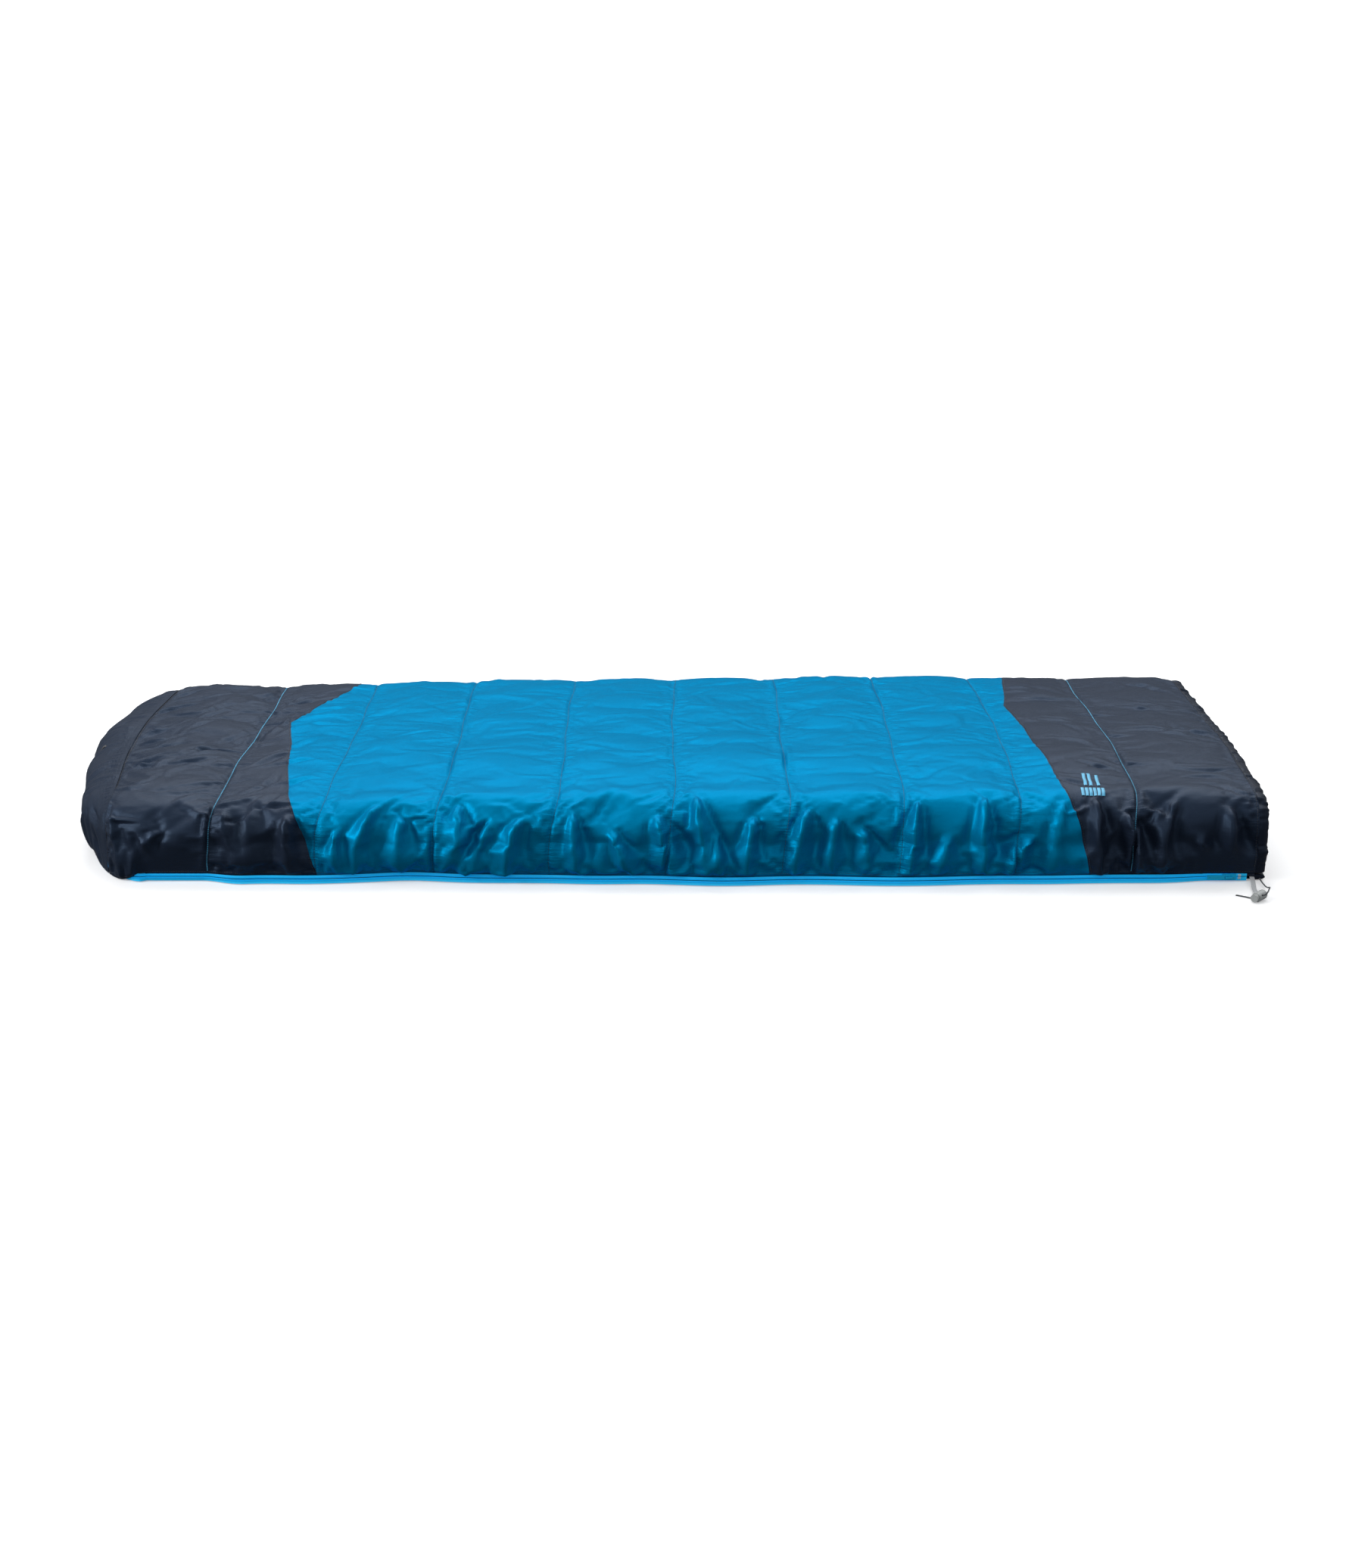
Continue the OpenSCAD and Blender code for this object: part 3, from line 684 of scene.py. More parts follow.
def gathers(rng, f, us, vs, line, across, start, end, side, step, lengths, widths, heights, spread, up=0.6):
    """A row of creases out to one side of a sewn line, which runs along v if across, else along u."""
    at = start
    while at < end:
        length = rng.uniform(*lengths) * rng.lognormal(0, 0.3)
        off = line + side * (length * 0.46 + 0.0008)
        u, v, turn = (off, at, 0.0) if across else (at, off, math.pi / 2)
        crease(f, us, vs, u, v, turn + rng.normal(0, spread), length, rng.uniform(*widths),
               sign(rng, up) * rng.uniform(*heights), rng.normal(0, 0.15), 0.7)
        at += rng.uniform(*step)


V_WALL = NEAR_LOW + 0.060           # where the near wall turns into the top


def crease_field(us, vs, seed=3):
    """All the creases of the quilt over (s along the bag, v round it from the zip), in metres."""
    rng = np.random.default_rng(seed)
    f = np.zeros((len(us), len(vs)))
    for k, x in enumerate(LINES):
        for side in (-1, 1):
            if (k == 0 and side < 0) or (k == len(LINES) - 1 and side > 0):
                continue
            gathers(rng, f, us, vs, x, True, 0.006, GIRTH - 0.004, side, (0.0065, 0.013), (0.014, 0.030),
                    (0.0024, 0.0038), (0.0005, 0.0011), 0.24)
            gathers(rng, f, us, vs, x, True, 0.02, GIRTH - 0.02, side, (0.020, 0.050), (0.045, 0.090),
                    (0.0050, 0.0090), (0.0003, 0.0009), 0.60, 0.5)
    for left, right in zip(LINES[:-1], LINES[1:]):      # folds that fall from the near shoulder to the zip
        u = left + rng.uniform(0.014, 0.038)
        while u < right - 0.012:
            lean, rise = rng.normal(0.006, 0.036), rng.uniform(0.070, 0.150)
            calmer = 0.35 + 0.65 * float(ramp(u, -0.80, -0.55))     # towards the foot
            tent(f, us, vs, (u, rise), (u + lean, rng.uniform(0.002, 0.012)), rng.uniform(0.012, 0.023),
                 rng.uniform(0.0095, 0.0210) * sign(rng, 0.90) * calmer)
            u += rng.uniform(0.036, 0.074) * (1 - 0.35 * float(ramp(u, 0.70, 0.80)))
    gathers(rng, f, us, vs, 0.0, False, SEAM_A, HEM_X, 1, (0.008, 0.015), (0.014, 0.034),
            (0.0024, 0.0040), (0.0012, 0.0030), 0.42)
    gathers(rng, f, us, vs, HEM_X, True, 0.004, GIRTH, -1, (0.009, 0.019), (0.018, 0.055),
            (0.0030, 0.0052), (0.0010, 0.0024), 0.25)
    for lean, count in ((0.95, 130), (-0.95, 90)):
        scatter(rng, f, us, vs, count, (SEAM_A, HEM_X, V_WALL, GIRTH), (0.05, 0.16), (0.005, 0.011),
                (0.0007, 0.0018), lean, 0.35)
    scatter(rng, f, us, vs, 90, (SEAM_A, SEAM_A + 0.34, V_WALL * 0.8, GIRTH), (0.06, 0.17), (0.004, 0.008),
            (0.0026, 0.0062), 0.55, 0.35)
    scatter(rng, f, us, vs, 50, (0.70, HEM_X, V_WALL * 0.8, GIRTH), (0.06, 0.15), (0.004, 0.008),
            (0.0024, 0.0056), -0.4, 0.4)
    wall = 1 - ramp(vs, V_WALL - 0.03, V_WALL + 0.03)
    f += 0.0010 * smooth_noise(us, vs, 0.07, 0.06, seed + 1) * (1 + wall)[None, :]
    f += 0.0018 * smooth_noise(us, vs, 0.16, 0.15, seed + 2)
    return f


def cap_creases(us, vs, seed=11):
    """Creases of the foot cap over its run along the outline and the way up the wall and over, in metres."""
    rng = np.random.default_rng(seed)
    f = np.zeros((len(us), len(vs)))
    end, top = us[-1], vs[-1]
    gathers(rng, f, us, vs, 0.0, False, 0, end, 1, (0.009, 0.016), (0.014, 0.036),
            (0.0026, 0.0042), (0.0008, 0.0020), 0.3)
    gathers(rng, f, us, vs, top, False, 0, end, -1, (0.009, 0.018), (0.014, 0.034),
            (0.0026, 0.0042), (0.0007, 0.0016), 0.3)
    gathers(rng, f, us, vs, 0.0, False, 0, end, 1, (0.026, 0.052), (0.06, 0.11),
            (0.0075, 0.0130), (0.0024, 0.0060), 0.42, 0.6)
    scatter(rng, f, us, vs, 44, (0, end, 0.02, top), (0.05, 0.11), (0.005, 0.010), (0.0010, 0.0026),
            0.9, 0.6)
    f += 0.0020 * smooth_noise(us, vs, 0.07, 0.05, seed + 1)
    return f


# ---------------------------------------------------------------- settling the cloth
def settle(points, pinned, frames, pressure, grow, tension=22.0, bending=0.4):
    """Lets a grid of cloth, with more cloth in it than its outline needs, billow between its pins."""
    rows, cols = points.shape[:2]
    obj = build("settling", points.reshape(-1, 3), grid_faces(rows, cols), [], None, laid=False)
    group = obj.vertex_groups.new(name="pin")
    group.add(np.flatnonzero(pinned.ravel()).tolist(), 1.0, "REPLACE")
    mod = obj.modifiers.new("settle", "CLOTH")
    st = mod.settings
    st.quality, st.mass = 4, 0.12
    st.tension_stiffness = st.compression_stiffness = tension
    st.shear_stiffness, st.bending_stiffness = tension * 0.4, bending
    st.tension_damping = st.compression_damping = 6
    st.shear_damping, st.bending_damping, st.air_damping = 4, 0.6, 3.0
    st.vertex_group_mass = "pin"
    st.use_pressure, st.uniform_pressure_force = True, pressure
    st.shrink_min = -grow
    st.effector_weights.gravity = 0.0
    mod.collision_settings.use_collision = mod.collision_settings.use_self_collision = False
    mod.point_cache.frame_start, mod.point_cache.frame_end = 1, frames
    for f in range(1, frames + 1):
        SCENE.frame_set(f)
    shown = obj.evaluated_get(bpy.context.evaluated_depsgraph_get())
    out = np.empty(rows * cols * 3)
    shown.data.vertices.foreach_get("co", out)
    bpy.data.objects.remove(obj, do_unlink=True)
    SCENE.frame_set(1)
    return out.reshape(rows, cols, 3)


def resample(field, us, vs, at_u, at_v):
    """Catmull-Rom sampling of a field on the even grid us by vs, at two arrays of one shape."""
    def prepare(grid, at):
        f = (at - grid[0]) / (grid[1] - grid[0])
        i = np.clip(np.floor(f).astype(int), 0, len(grid) - 2)
        return [np.clip(i + k, 0, len(grid) - 1) for k in (-1, 0, 1, 2)], catmull(np.clip(f - i, 0, 1))
    (iu, wu), (iv, wv) = prepare(us, at_u), prepare(vs, at_v)
    out = 0
    for a in range(4):
        for b in range(4):
            w = wu[a] * wv[b]
            out = out + field[iu[a], iv[b]] * (w[..., None] if field.ndim == 3 else w)
    return out


def regular(a, b, step):
    return np.linspace(a, b, int(round((b - a) / step)) + 1)


SIM_STEP, CREASE_STEP, SETTLE_FRAMES = 0.0085, 0.0025, 14


class Quilt:
    """One settled surface over box = (u0, u1, v0, v1): its form, how settling moved it, and its creases."""

    def __init__(self, form, box, creases, hold, channel, pins, ease, pressure, grow, most):
        self.form, self.channel, self.hold = form, channel, hold
        self.us, self.vs = us, vs = regular(*box[:2], SIM_STEP), regular(*box[2:], SIM_STEP)
        self.fine_u, self.fine_v = regular(*box[:2], CREASE_STEP), regular(*box[2:], CREASE_STEP)
        self.creases = creases(self.fine_u, self.fine_v)
        self.moved = np.zeros((len(us), len(vs), 3))
        u, v = np.meshgrid(us, vs, indexing="ij")
        start = self.plain(u, v)
        rough = start + outward(form, u, v) * (creases(us, vs) * 0.6 * hold(u, v))[..., None]
        settled = settle(rough, pins(u, v), SETTLE_FRAMES, pressure, grow)
        moved = (settled - start) * ease(u, v)[..., None]
        size = np.linalg.norm(moved, axis=-1, keepdims=True)
        self.moved = moved * np.minimum(1, most / np.maximum(size, 1e-9))
        print("settled, mean %.1f mm, most %.1f mm" % (size.mean() * 1000, size.max() * 1000))

    def plain(self, u, v):
        return self.form(u, v) + outward(self.form, u, v) * self.channel(u, v)[..., None]

    def __call__(self, u, v, lift=0.0):
        u, v = np.broadcast_arrays(np.asarray(u, float), np.asarray(v, float))
        small = resample(self.creases, self.fine_u, self.fine_v, u, v) * self.hold(u, v)
        height = self.channel(u, v) + small * 0.75 + lift
        moved = resample(self.moved, self.us, self.vs, u, v)
        return self.form(u, v) + outward(self.form, u, v) * height[..., None] + moved


PARKED = ((-0.815, 0.044), (0.975, 0.032))  # where the slider stands at the ends of its run, and half widths


def parked(s, v):
    """1 on the lower wall at the ends of the slider's run, where the cloth stays clear of it."""
    near = sum(1 - ramp(np.abs(s - at), wide, wide + 0.035) for at, wide in PARKED)
    return near * (1 - ramp(v, 0.024, 0.060))


def body_channel(s, v):
    wall = 1 - ramp(v, 0.01, V_WALL + 0.05)
    full = puff(s) * 0.0024 * (1 - 0.2 * wall) * ramp(v, 0, 0.01) * ramp(GIRTH - v, 0, 0.012)
    return full * (1 - parked(s, v)) - 0.0015 * bump(nearest_seam(s)[0], 0, 0.0021)


def body_hold(s, v):
    held = ramp(nearest_seam(s)[0], 0.0, 0.005) * ramp(v, 0.0, 0.006) * ramp(GIRTH - v, 0.0, 0.004)
    return held * (1 - parked(s, v))


def body_ease(s, v):
    """The wall hangs slack and keeps all its folds; the top lies nearly flat."""
    slack = 1 - 0.72 * ramp(v, V_WALL - 0.01, V_WALL + 0.07) + 0.30 * (1 - ramp(s, -0.80, -0.66))
    return slack * (1 - parked(s, v))


def body_pins(s, v):
    return (nearest_seam(s)[0] < SIM_STEP / 2) | (v < 1e-6) | (v > GIRTH - 1e-6)


CAP_RUN, CAP_RISE = EDGE_LEN - 2 * START_MID, NEAR_LOW + 0.108


def cap_form(u, v):
    over = 1 + (v - NEAR_LOW) / (CAP_RISE - NEAR_LOW)
    return cap_point(u / CAP_RUN, np.where(v < NEAR_LOW, v / NEAR_LOW, over))


def cap_hold(u, v):
    ends = ramp(u, 0.0, 0.05) * ramp(CAP_RUN - u, 0.0, 0.05)
    return ramp(v, 0, 0.006) * ramp(CAP_RISE - v, 0.0, 0.012) * ends


def cap_channel(u, v):
    return 0.006 * np.sin(np.pi * np.clip(v / CAP_RISE, 0, 1)) * cap_hold(u, v)


def cap_pins(u, v):
    return (v < 1e-6) | (v > CAP_RISE - 1e-6) | (u < 0.03) | (u > CAP_RUN - 0.03)


top = Quilt(body_point, (SEAM_A, HEM_X, 0, GIRTH), crease_field, body_hold, body_channel, body_pins,
            body_ease, 1.3, 0.045, 0.020)
cap = Quilt(cap_form, (0, CAP_RUN, 0, CAP_RISE), cap_creases, cap_hold, cap_channel, cap_pins,
            lambda u, v: 1 + 0 * u, 1.4, 0.04, 0.012)

# the crown's height along the bag: lowest at the foot, highest towards the head
TOP_LIMIT = 0.1632
heights = top(*np.meshgrid(top.us, regular(0.16, GIRTH - 0.10, 0.02), indexing="ij"))[..., 2].max(axis=1)
reach = 12
window = 2 * reach + 1
heights = np.array([heights[max(0, i - reach):i + reach + 1].max() for i in range(len(heights))])
heights = np.convolve(np.pad(heights, reach, mode="edge"), np.ones(window) / window, mode="valid")


def wanted_height(x):
    return 0.1475 + 0.0155 * ramp(x, -0.85, 0.20) - 0.002 * ramp(x, 0.80, 1.0)


def behind_fold(y):
    """Keeps a far wall on its own side of the hinge plane, so the opened halves lie back to back."""
    start, room = FOLD_Y - 0.0050, 0.0038
    over = y - start
    return np.where(over > 0, start + room * np.tanh(over / room), y)


def tuck(points):
    """Brings the wall's lower edge out over the zip at the near foot corner, in where the slider stands."""
    out = np.array(points, float)
    x, y, z = np.moveaxis(out, -1, 0)
    share = ramp(-x, 0.865, 0.935) * ramp(-y, -0.10, 0.12) * (1 - ramp(z, 0.013, 0.058))
    dx, dy = np.minimum(x + ARC_X, 0), np.minimum(y + ARC_Y, 0)
    size = np.maximum(np.hypot(dx, dy), 1e-6)
    out[..., 0] += 0.0075 * share * dx / size
    out[..., 1] += 0.0075 * share * dy / size
    out[..., 2] -= 0.0120 * share
    clear = parked(x, z) * ramp(-y, 0.34, 0.37)
    out[..., 1] += 0.0016 * clear
    out[..., 2] += 0.0006 * clear
    return out


def level(points):
    """Scales the part above the fold so the crown has the height it should along the bag."""
    out = np.array(points, float)
    gain = (wanted_height(out[..., 0]) - FOLD_Z) / (np.interp(out[..., 0], top.us, heights) - FOLD_Z)
    out[..., 2] = np.where(out[..., 2] > FOLD_Z, FOLD_Z + (out[..., 2] - FOLD_Z) * gain, out[..., 2])
    over = out[..., 2] - (TOP_LIMIT - 0.003)
    out[..., 2] = np.where(over > 0, TOP_LIMIT - 0.003 + 0.003 * np.tanh(over / 0.003), out[..., 2])
    out = tuck(out)
    out[..., 1] = behind_fold(out[..., 1] + SHIFT)
    return out


def top_skin(s, v, lift=0.0):
    return level(top(s, v, lift))


def cap_skin(u, v, lift=0.0):
    return level(cap(u, v, lift))


# ---------------------------------------------------------------- shell panels
def colour_line(points, v):
    """s of a colour boundary at v; it doesn't lean as the seams do."""
    return np.interp(v, [p[0] for p in points], [p[1] for p in points]) + seam_lean(v)


V_OF_Y = NEAR_LOW + SHOULDER_ARC + HALF_W - SHOULDER_R
FOOT_LINE = ((0, -0.578), (NEAR_LOW, -0.592), (0.117, -0.610), (V_OF_Y - 0.318, -0.630),
             (V_OF_Y + 0.071, -0.697), (V_OF_Y + 0.310, -0.606), (GIRTH, -0.575))
HEAD_LINE = ((0, 0.737), (NEAR_LOW, 0.721), (V_OF_Y - 0.318, 0.698), (V_OF_Y + 0.125, 0.661), (GIRTH, 0.709))


def graded(a, b, fine, coarse, dense_a=True, dense_b=True, band=0.022):
    """Places from a to b, close together near the ends that are seams."""
    out, x = [0.0], 0.0
    span = b - a
    while x < span:
        near = min(x if dense_a else span, span - x if dense_b else span)
        x += fine + (coarse - fine) * float(ramp(near, band * 0.3, band * 1.6))
        out.append(x)
    return a + np.array(out) / out[-1] * span


def panel(name, stops, material, node, step_v=0.003, fine=0.0028, coarse=0.0056):
    """Cloth between the s values in stops, each a number or a function of v; the numbers are seams."""
    vs = regular(0, GIRTH, step_v)
    rows = []
    for left, right in zip(stops[:-1], stops[1:]):
        at = [k if isinstance(k, float) else None for k in (left, right)]
        a, b = (np.full_like(vs, k) if isinstance(k, float) else colour_line(k, vs) for k in (left, right))
        share = graded(0, float((b - a).mean()), fine, coarse, at[0] is not None, at[1] is not None)
        share = share / share[-1]
        block = a[None, :] + (b - a)[None, :] * share[:, None]
        rows.append(block if not rows else block[1:])
    s = np.concatenate(rows)
    v = np.broadcast_to(vs, s.shape)
    points = top_skin(s, v)
    points[:, -1, 1:] = FOLD_Y, FOLD_Z + 0.0002
    turned = points[:, :1] + np.array([0, 0.0035, 0.0004])      # the cloth turns under at the zip
    points = np.concatenate([turned, points], axis=1)
    uv = np.stack([s, v], -1)
    uv = np.concatenate([uv[:, :1] - np.array([0, 0.003]), uv], axis=1)
    near = np.exp(-nearest_seam(s)[0] / 0.018) + 0.6 * np.exp(-v / 0.02)
    near = np.concatenate([near[:, :1], near], axis=1)
    obj = build_grid(name, points, uv, near, material, BODY_TOP)
    stand_for(obj, "shell_blue" if material is BLUE else "shell_dark", node)


SEAM_AT = [float(x) for x in LINES]
panel("panel_foot", [SEAM_AT[0], SEAM_AT[1], FOOT_LINE], DARK, "top_shell_foot")
panel("panel_middle", [FOOT_LINE, *SEAM_AT[2:9], HEAD_LINE], BLUE, "top_shell_middle")
panel("panel_head", [HEAD_LINE, SEAM_AT[9], SEAM_AT[10]], DARK, "top_shell_head")


def masked(points, keep, *more):
    """Vertices and faces of the part of a grid that keep marks, and the rows of more that go with them."""
    faces = grid_faces(*points.shape[:2])[keep.ravel()]
    used, back = np.unique(faces, return_inverse=True)
    rows = [grid.reshape(len(points) * points.shape[1], -1)[used] for grid in (points, *more)]
    return rows[0], back.reshape(faces.shape), *rows[1:]


def cap_split():
    """Where the zip ends on the foot, as a run along the cap's outline."""
    runs = np.linspace(0, CAP_RUN, 2000)
    off = np.abs(edge_point(START_MID + runs)[1] - SPLIT_Y) + (runs < CAP_RUN / 2) * 9
    return float(runs[np.argmin(off)])


CAP_END = cap_split()
cap_u = np.concatenate([regular(0, CAP_END, 0.003), regular(CAP_END, CAP_RUN, 0.003)[1:]])
cap_v = np.concatenate([regular(0, NEAR_LOW, 0.003), regular(NEAR_LOW, CAP_RISE, 0.003)[1:]])
gu, gv = np.meshgrid(cap_u, cap_v, indexing="ij")
cap_points = cap_skin(gu, gv)
centre_v = (gv[1:, 1:] + gv[:-1, :-1]) / 2
centre_u = (gu[1:, 1:] + gu[:-1, :-1]) / 2
far_corner = (centre_v < NEAR_LOW) & (centre_u > CAP_END)
cap_uv = np.stack([gu, gv], -1)
cap_pucker = np.exp(-(CAP_RISE - gv) / 0.02) + np.exp(-gv / 0.02)
verts, faces, cap_uv, cap_pucker = masked(cap_points[:, ::-1], ~far_corner[:, ::-1], cap_uv[:, ::-1],
                                          cap_pucker[:, ::-1])
cap_obj = build("panel_foot_cap", verts, faces, [DARK], BODY_TOP, cap_uv, cap_pucker)
stand_for(cap_obj, "shell_dark", "top_shell_foot_cap")


# ---------------------------------------------------------------- bottom quilt
def wall_dents(us, vs):
    """Soft creases of the far wall and the underside."""
    rng = np.random.default_rng(31)
    f = np.zeros((len(us), len(vs)))
    for x in SEAMS:
        for side in (-1, 1):
            gathers(rng, f, us, vs, x, True, 0.004, vs[-1], side, (0.007, 0.014), (0.014, 0.030),
                    (0.0026, 0.0040), (0.0005, 0.0012), 0.25)
    gathers(rng, f, us, vs, 0.0, False, us[0], us[-1], 1, (0.03, 0.06), (0.04, 0.08),
            (0.007, 0.012), (0.0015, 0.0035), 0.4, 0.5)
    return f + 0.0010 * smooth_noise(us, vs, 0.09, 0.05, 32)


def far_wall():
    """The bottom quilt's standing wall: along the far side and round the far foot corner, up to the fold."""
    zs = regular(0, 1, 0.05)
    a0 = CAP_END / CAP_RUN
    corner = regular(a0, 1, 0.004)
    side = graded(0, HEM_X - SEAM_A, 0.003, 0.006)[1:] + SEAM_A
    us, vs = regular(SEAM_A - 0.6, HEM_X, 0.003), regular(0, FOLD_Z, 0.003)
    dents = wall_dents(us, vs)
    rows = []
    for k in range(len(corner) + len(side)):
        on_corner = k < len(corner)
        if on_corner:
            a = corner[k]
            mid = edge_point(START_MID + (EDGE_LEN - 2 * START_MID) * a)
            low = edge_point(START_LOW + (EDGE_LEN - 2 * START_LOW) * a, 0.0, LOW_FOOT)
            u = SEAM_A - (1 - a) * CAP_RUN
        else:
            u = side[k - len(corner)]
            mid, low = (u, float(half_width(u))), (u, float(half_width(u, 0.0, LOW_FOOT)))
        z = FOLD_Z * zs
        drop = np.clip((FOLD_Z - z) / NEAR_LOW, 0, 1.25)
        share = wall_profile(np.minimum(drop, 1))
        under = 0.010 * ramp(zs, 0.16, 0.0)
        x = mid[0] + (low[0] - mid[0]) * share
        y = mid[1] + (low[1] - mid[1]) * share - under
        full = float(puff(u)) if u > SEAM_A else 0.6
        out = 0.006 * np.sin(np.pi * zs) * (0.4 + 0.6 * full)
        dent = resample(dents, us, vs, np.full_like(z, u), z)
        dent *= ramp(zs, 0.0, 0.1) * (1 - ramp(zs, 0.93, 1.0))
        normal = np.array(edge_normal(mid))
        rows.append(np.stack([x + normal[0] * (out + dent), y + normal[1] * (out + dent) + SHIFT,
                              np.maximum(z - 0.0004, 0.0006)], -1))
    points = np.array(rows)
    points[..., 1] = behind_fold(points[..., 1])
    points[len(corner):, -1, 1] = FOLD_Y
    u = np.arange(len(points))[:, None] * 0.005 + 0 * zs[None]
    uv = np.stack([u, zs[None] * FOLD_Z + 0 * u], -1)
    return points[::-1], uv[::-1]


def edge_normal(mid):
    """Outward direction of the plan outline at one of its points."""
    dx, dy = min(mid[0] + ARC_X, 0), math.copysign(max(abs(mid[1]) - ARC_Y, 0), mid[1])
    size = math.hypot(dx, dy) or 1
    return (dx / size, dy / size)


def height_grid(z_of, t, foot):
    """A sheet over the plan of the bag: rows across it from the foot to the hem."""
    xs = -foot + (HEM_X + foot) * (1 - np.cos(regular(0, math.pi, 0.018))) / 2
    ws = np.sin(regular(-1, 1, 0.015) * math.pi / 2)
    x, w = np.meshgrid(xs, ws, indexing="ij")
    y = w * half_width(x, t, foot + t)
    z = z_of(x, y)
    points = np.stack([x, y + SHIFT - zip_wave(x) * ramp(-w, 0.72, 1.0), z], -1)
    uv = np.stack([x, y], -1)
    near = np.exp(-nearest_seam(x)[0] / 0.018)
    return points, uv, near


def floor_sheet():
    """The underside: channels pressed flat on the ground, seams a little above it, edges turned up."""
    def z_of(x, y):
        d = np.minimum(inset(x, y), x + LOW_FOOT)
        lift = 0.0022 * bump(nearest_seam(x)[0], 0, 0.010)
        turned = 0.0044 * (1 - ramp(d, 0.002, 0.012)) * (y < SPLIT_Y)
        return 0.0006 + lift * ramp(d, 0.0, 0.03) + turned
    within = 0.0024
    return height_grid(z_of, within, LOW_FOOT - within)


def joined(parts):
    """Puts grids together: [(points, uv, near)] to one vertex list and face list."""
    verts, faces, uvs, nears, base = [], [], [], [], 0
    for points, uv, near in parts:
        faces.append(grid_faces(*points.shape[:2], base=base))
        verts.append(points.reshape(-1, 3))
        uvs.append(uv.reshape(-1, 2))
        nears.append(near.reshape(-1))
        base += len(verts[-1])
    return np.concatenate(verts), np.concatenate(faces), np.concatenate(uvs), np.concatenate(nears)


wall_points, wall_uv = far_wall()
under = floor_sheet()
verts, faces, uvs, nears = joined([(wall_points, wall_uv, np.full(wall_points.shape[:2], 0.35)),
                                   (under[0][::-1], under[1][::-1], under[2][::-1])])
base_obj = build("bottom_shell_cloth", verts, faces, [BASE], BODY_BASE, uvs, nears)
stand_for(base_obj, "base_dark", "bottom_shell")

LINING_IN = 0.0235


def lining_low(x, y):
    """Lining of the bottom quilt: full channels, falling to the zip at the near side and foot."""
    d = np.minimum(inset(x, y), x + LOW_FOOT)
    far = y > 0
    rise = ease_out(np.clip((d - 0.004) / 0.060, 0, 1))
    level_z = np.where(far & (x > -0.9), 0.0215, 0.0060 + 0.0155 * rise)
    full = puff(x) * 0.0085 * ramp(d, 0.01, 0.06)
    return level_z + full - 0.0045 * bump(nearest_seam(x)[0], 0, 0.004) * ramp(d, 0.01, 0.05)


def lining_bottom():
    """Lining of the bottom quilt, with its creases."""
    points, uv, near = height_grid(lining_low, 0.0045, LOW_FOOT - 0.006)
    rng = np.random.default_rng(5)
    us, vs = regular(-1.1, HEM_X + 0.01, 0.004), regular(-0.42, 0.42, 0.004)
    f = np.zeros((len(us), len(vs)))
    for x in SEAMS:
        for side in (-1, 1):
            gathers(rng, f, us, vs, x, True, -0.36, 0.36, side, (0.010, 0.022), (0.016, 0.045),
                    (0.0045, 0.0070), (0.0008, 0.0018), 0.3)
    scatter(rng, f, us, vs, 160, (-0.98, 1.0, -0.36, 0.36), (0.06, 0.18), (0.007, 0.013), (0.001, 0.0026),
            0.9, 0.8)
    x, y = points[..., 0], points[..., 1]
    points[..., 2] += resample(f, us, vs, x, y) * ramp(inset(x, y - SHIFT), 0.01, 0.04)
    obj = build_grid("lining_bottom", points, uv, near, LINING, BODY_BASE)
    stand_for(obj, "lining", "bottom_liner", "bottom_batt_floor")


lining_bottom()


# ---------------------------------------------------------------- lining of the top quilt and far wall
def lining_at(s, v):
    """The top quilt's lining: quilted inward, and rippled beside its seams."""
    p = body_point(s, v, LINING_IN)
    n = outward(lambda a, b: body_point(a, b, LINING_IN), s, v)
    ripple = 0.0012 * np.sin(v * 61 + 9 * np.sin(s * 23)) * np.exp(-nearest_seam(s)[0] / 0.02)
    full = puff(s) * 0.0075 * ramp(v, 0.0, 0.03) * ramp(GIRTH - v, 0.0, 0.03)
    p = p - n * (full + ripple - 0.0030 * bump(nearest_seam(s)[0], 0, 0.004))[..., None]
    p[..., 1] += SHIFT
    return p


ls = np.concatenate([graded(a, b, 0.004, 0.009) for a, b in zip(LINES[:-1], LINES[1:])])
ls = np.unique(np.round(ls, 6))
lu, lv = np.meshgrid(ls, regular(0, GIRTH, 0.007), indexing="ij")
body_lining = lining_at(lu, lv)
cap_rows = np.concatenate([regular(0, 1, 0.125), regular(1, 2, 0.06)[1:]])
ca, cb = np.meshgrid(regular(0, 1, 0.008), cap_rows, indexing="ij")
cap_lining = cap_point(ca, cb, LINING_IN) + ASIDE


def closing_strip(outer, inner, rows=4):
    """Cloth that turns from the shell's edge in to the lining's."""
    share = np.linspace(0, 1, rows)[None, :, None]
    return outer[:, None] * (1 - share) + inner[:, None] * share


def ledge(inner, outer, z):
    """The turned edge of a quilt along the fold, from its lining out to its shell."""
    strip = closing_strip(outer, inner, 5)
    strip[..., 2] = z
    return strip


def edge_part(points):
    """A turned edge as joined() takes it."""
    return points, points[..., :2] + points[..., 2:], filled(points, 0.3)


ARC_A = regular(CAP_END / CAP_RUN, 1, 0.008)        # the far foot corner, as a share of the cap's run


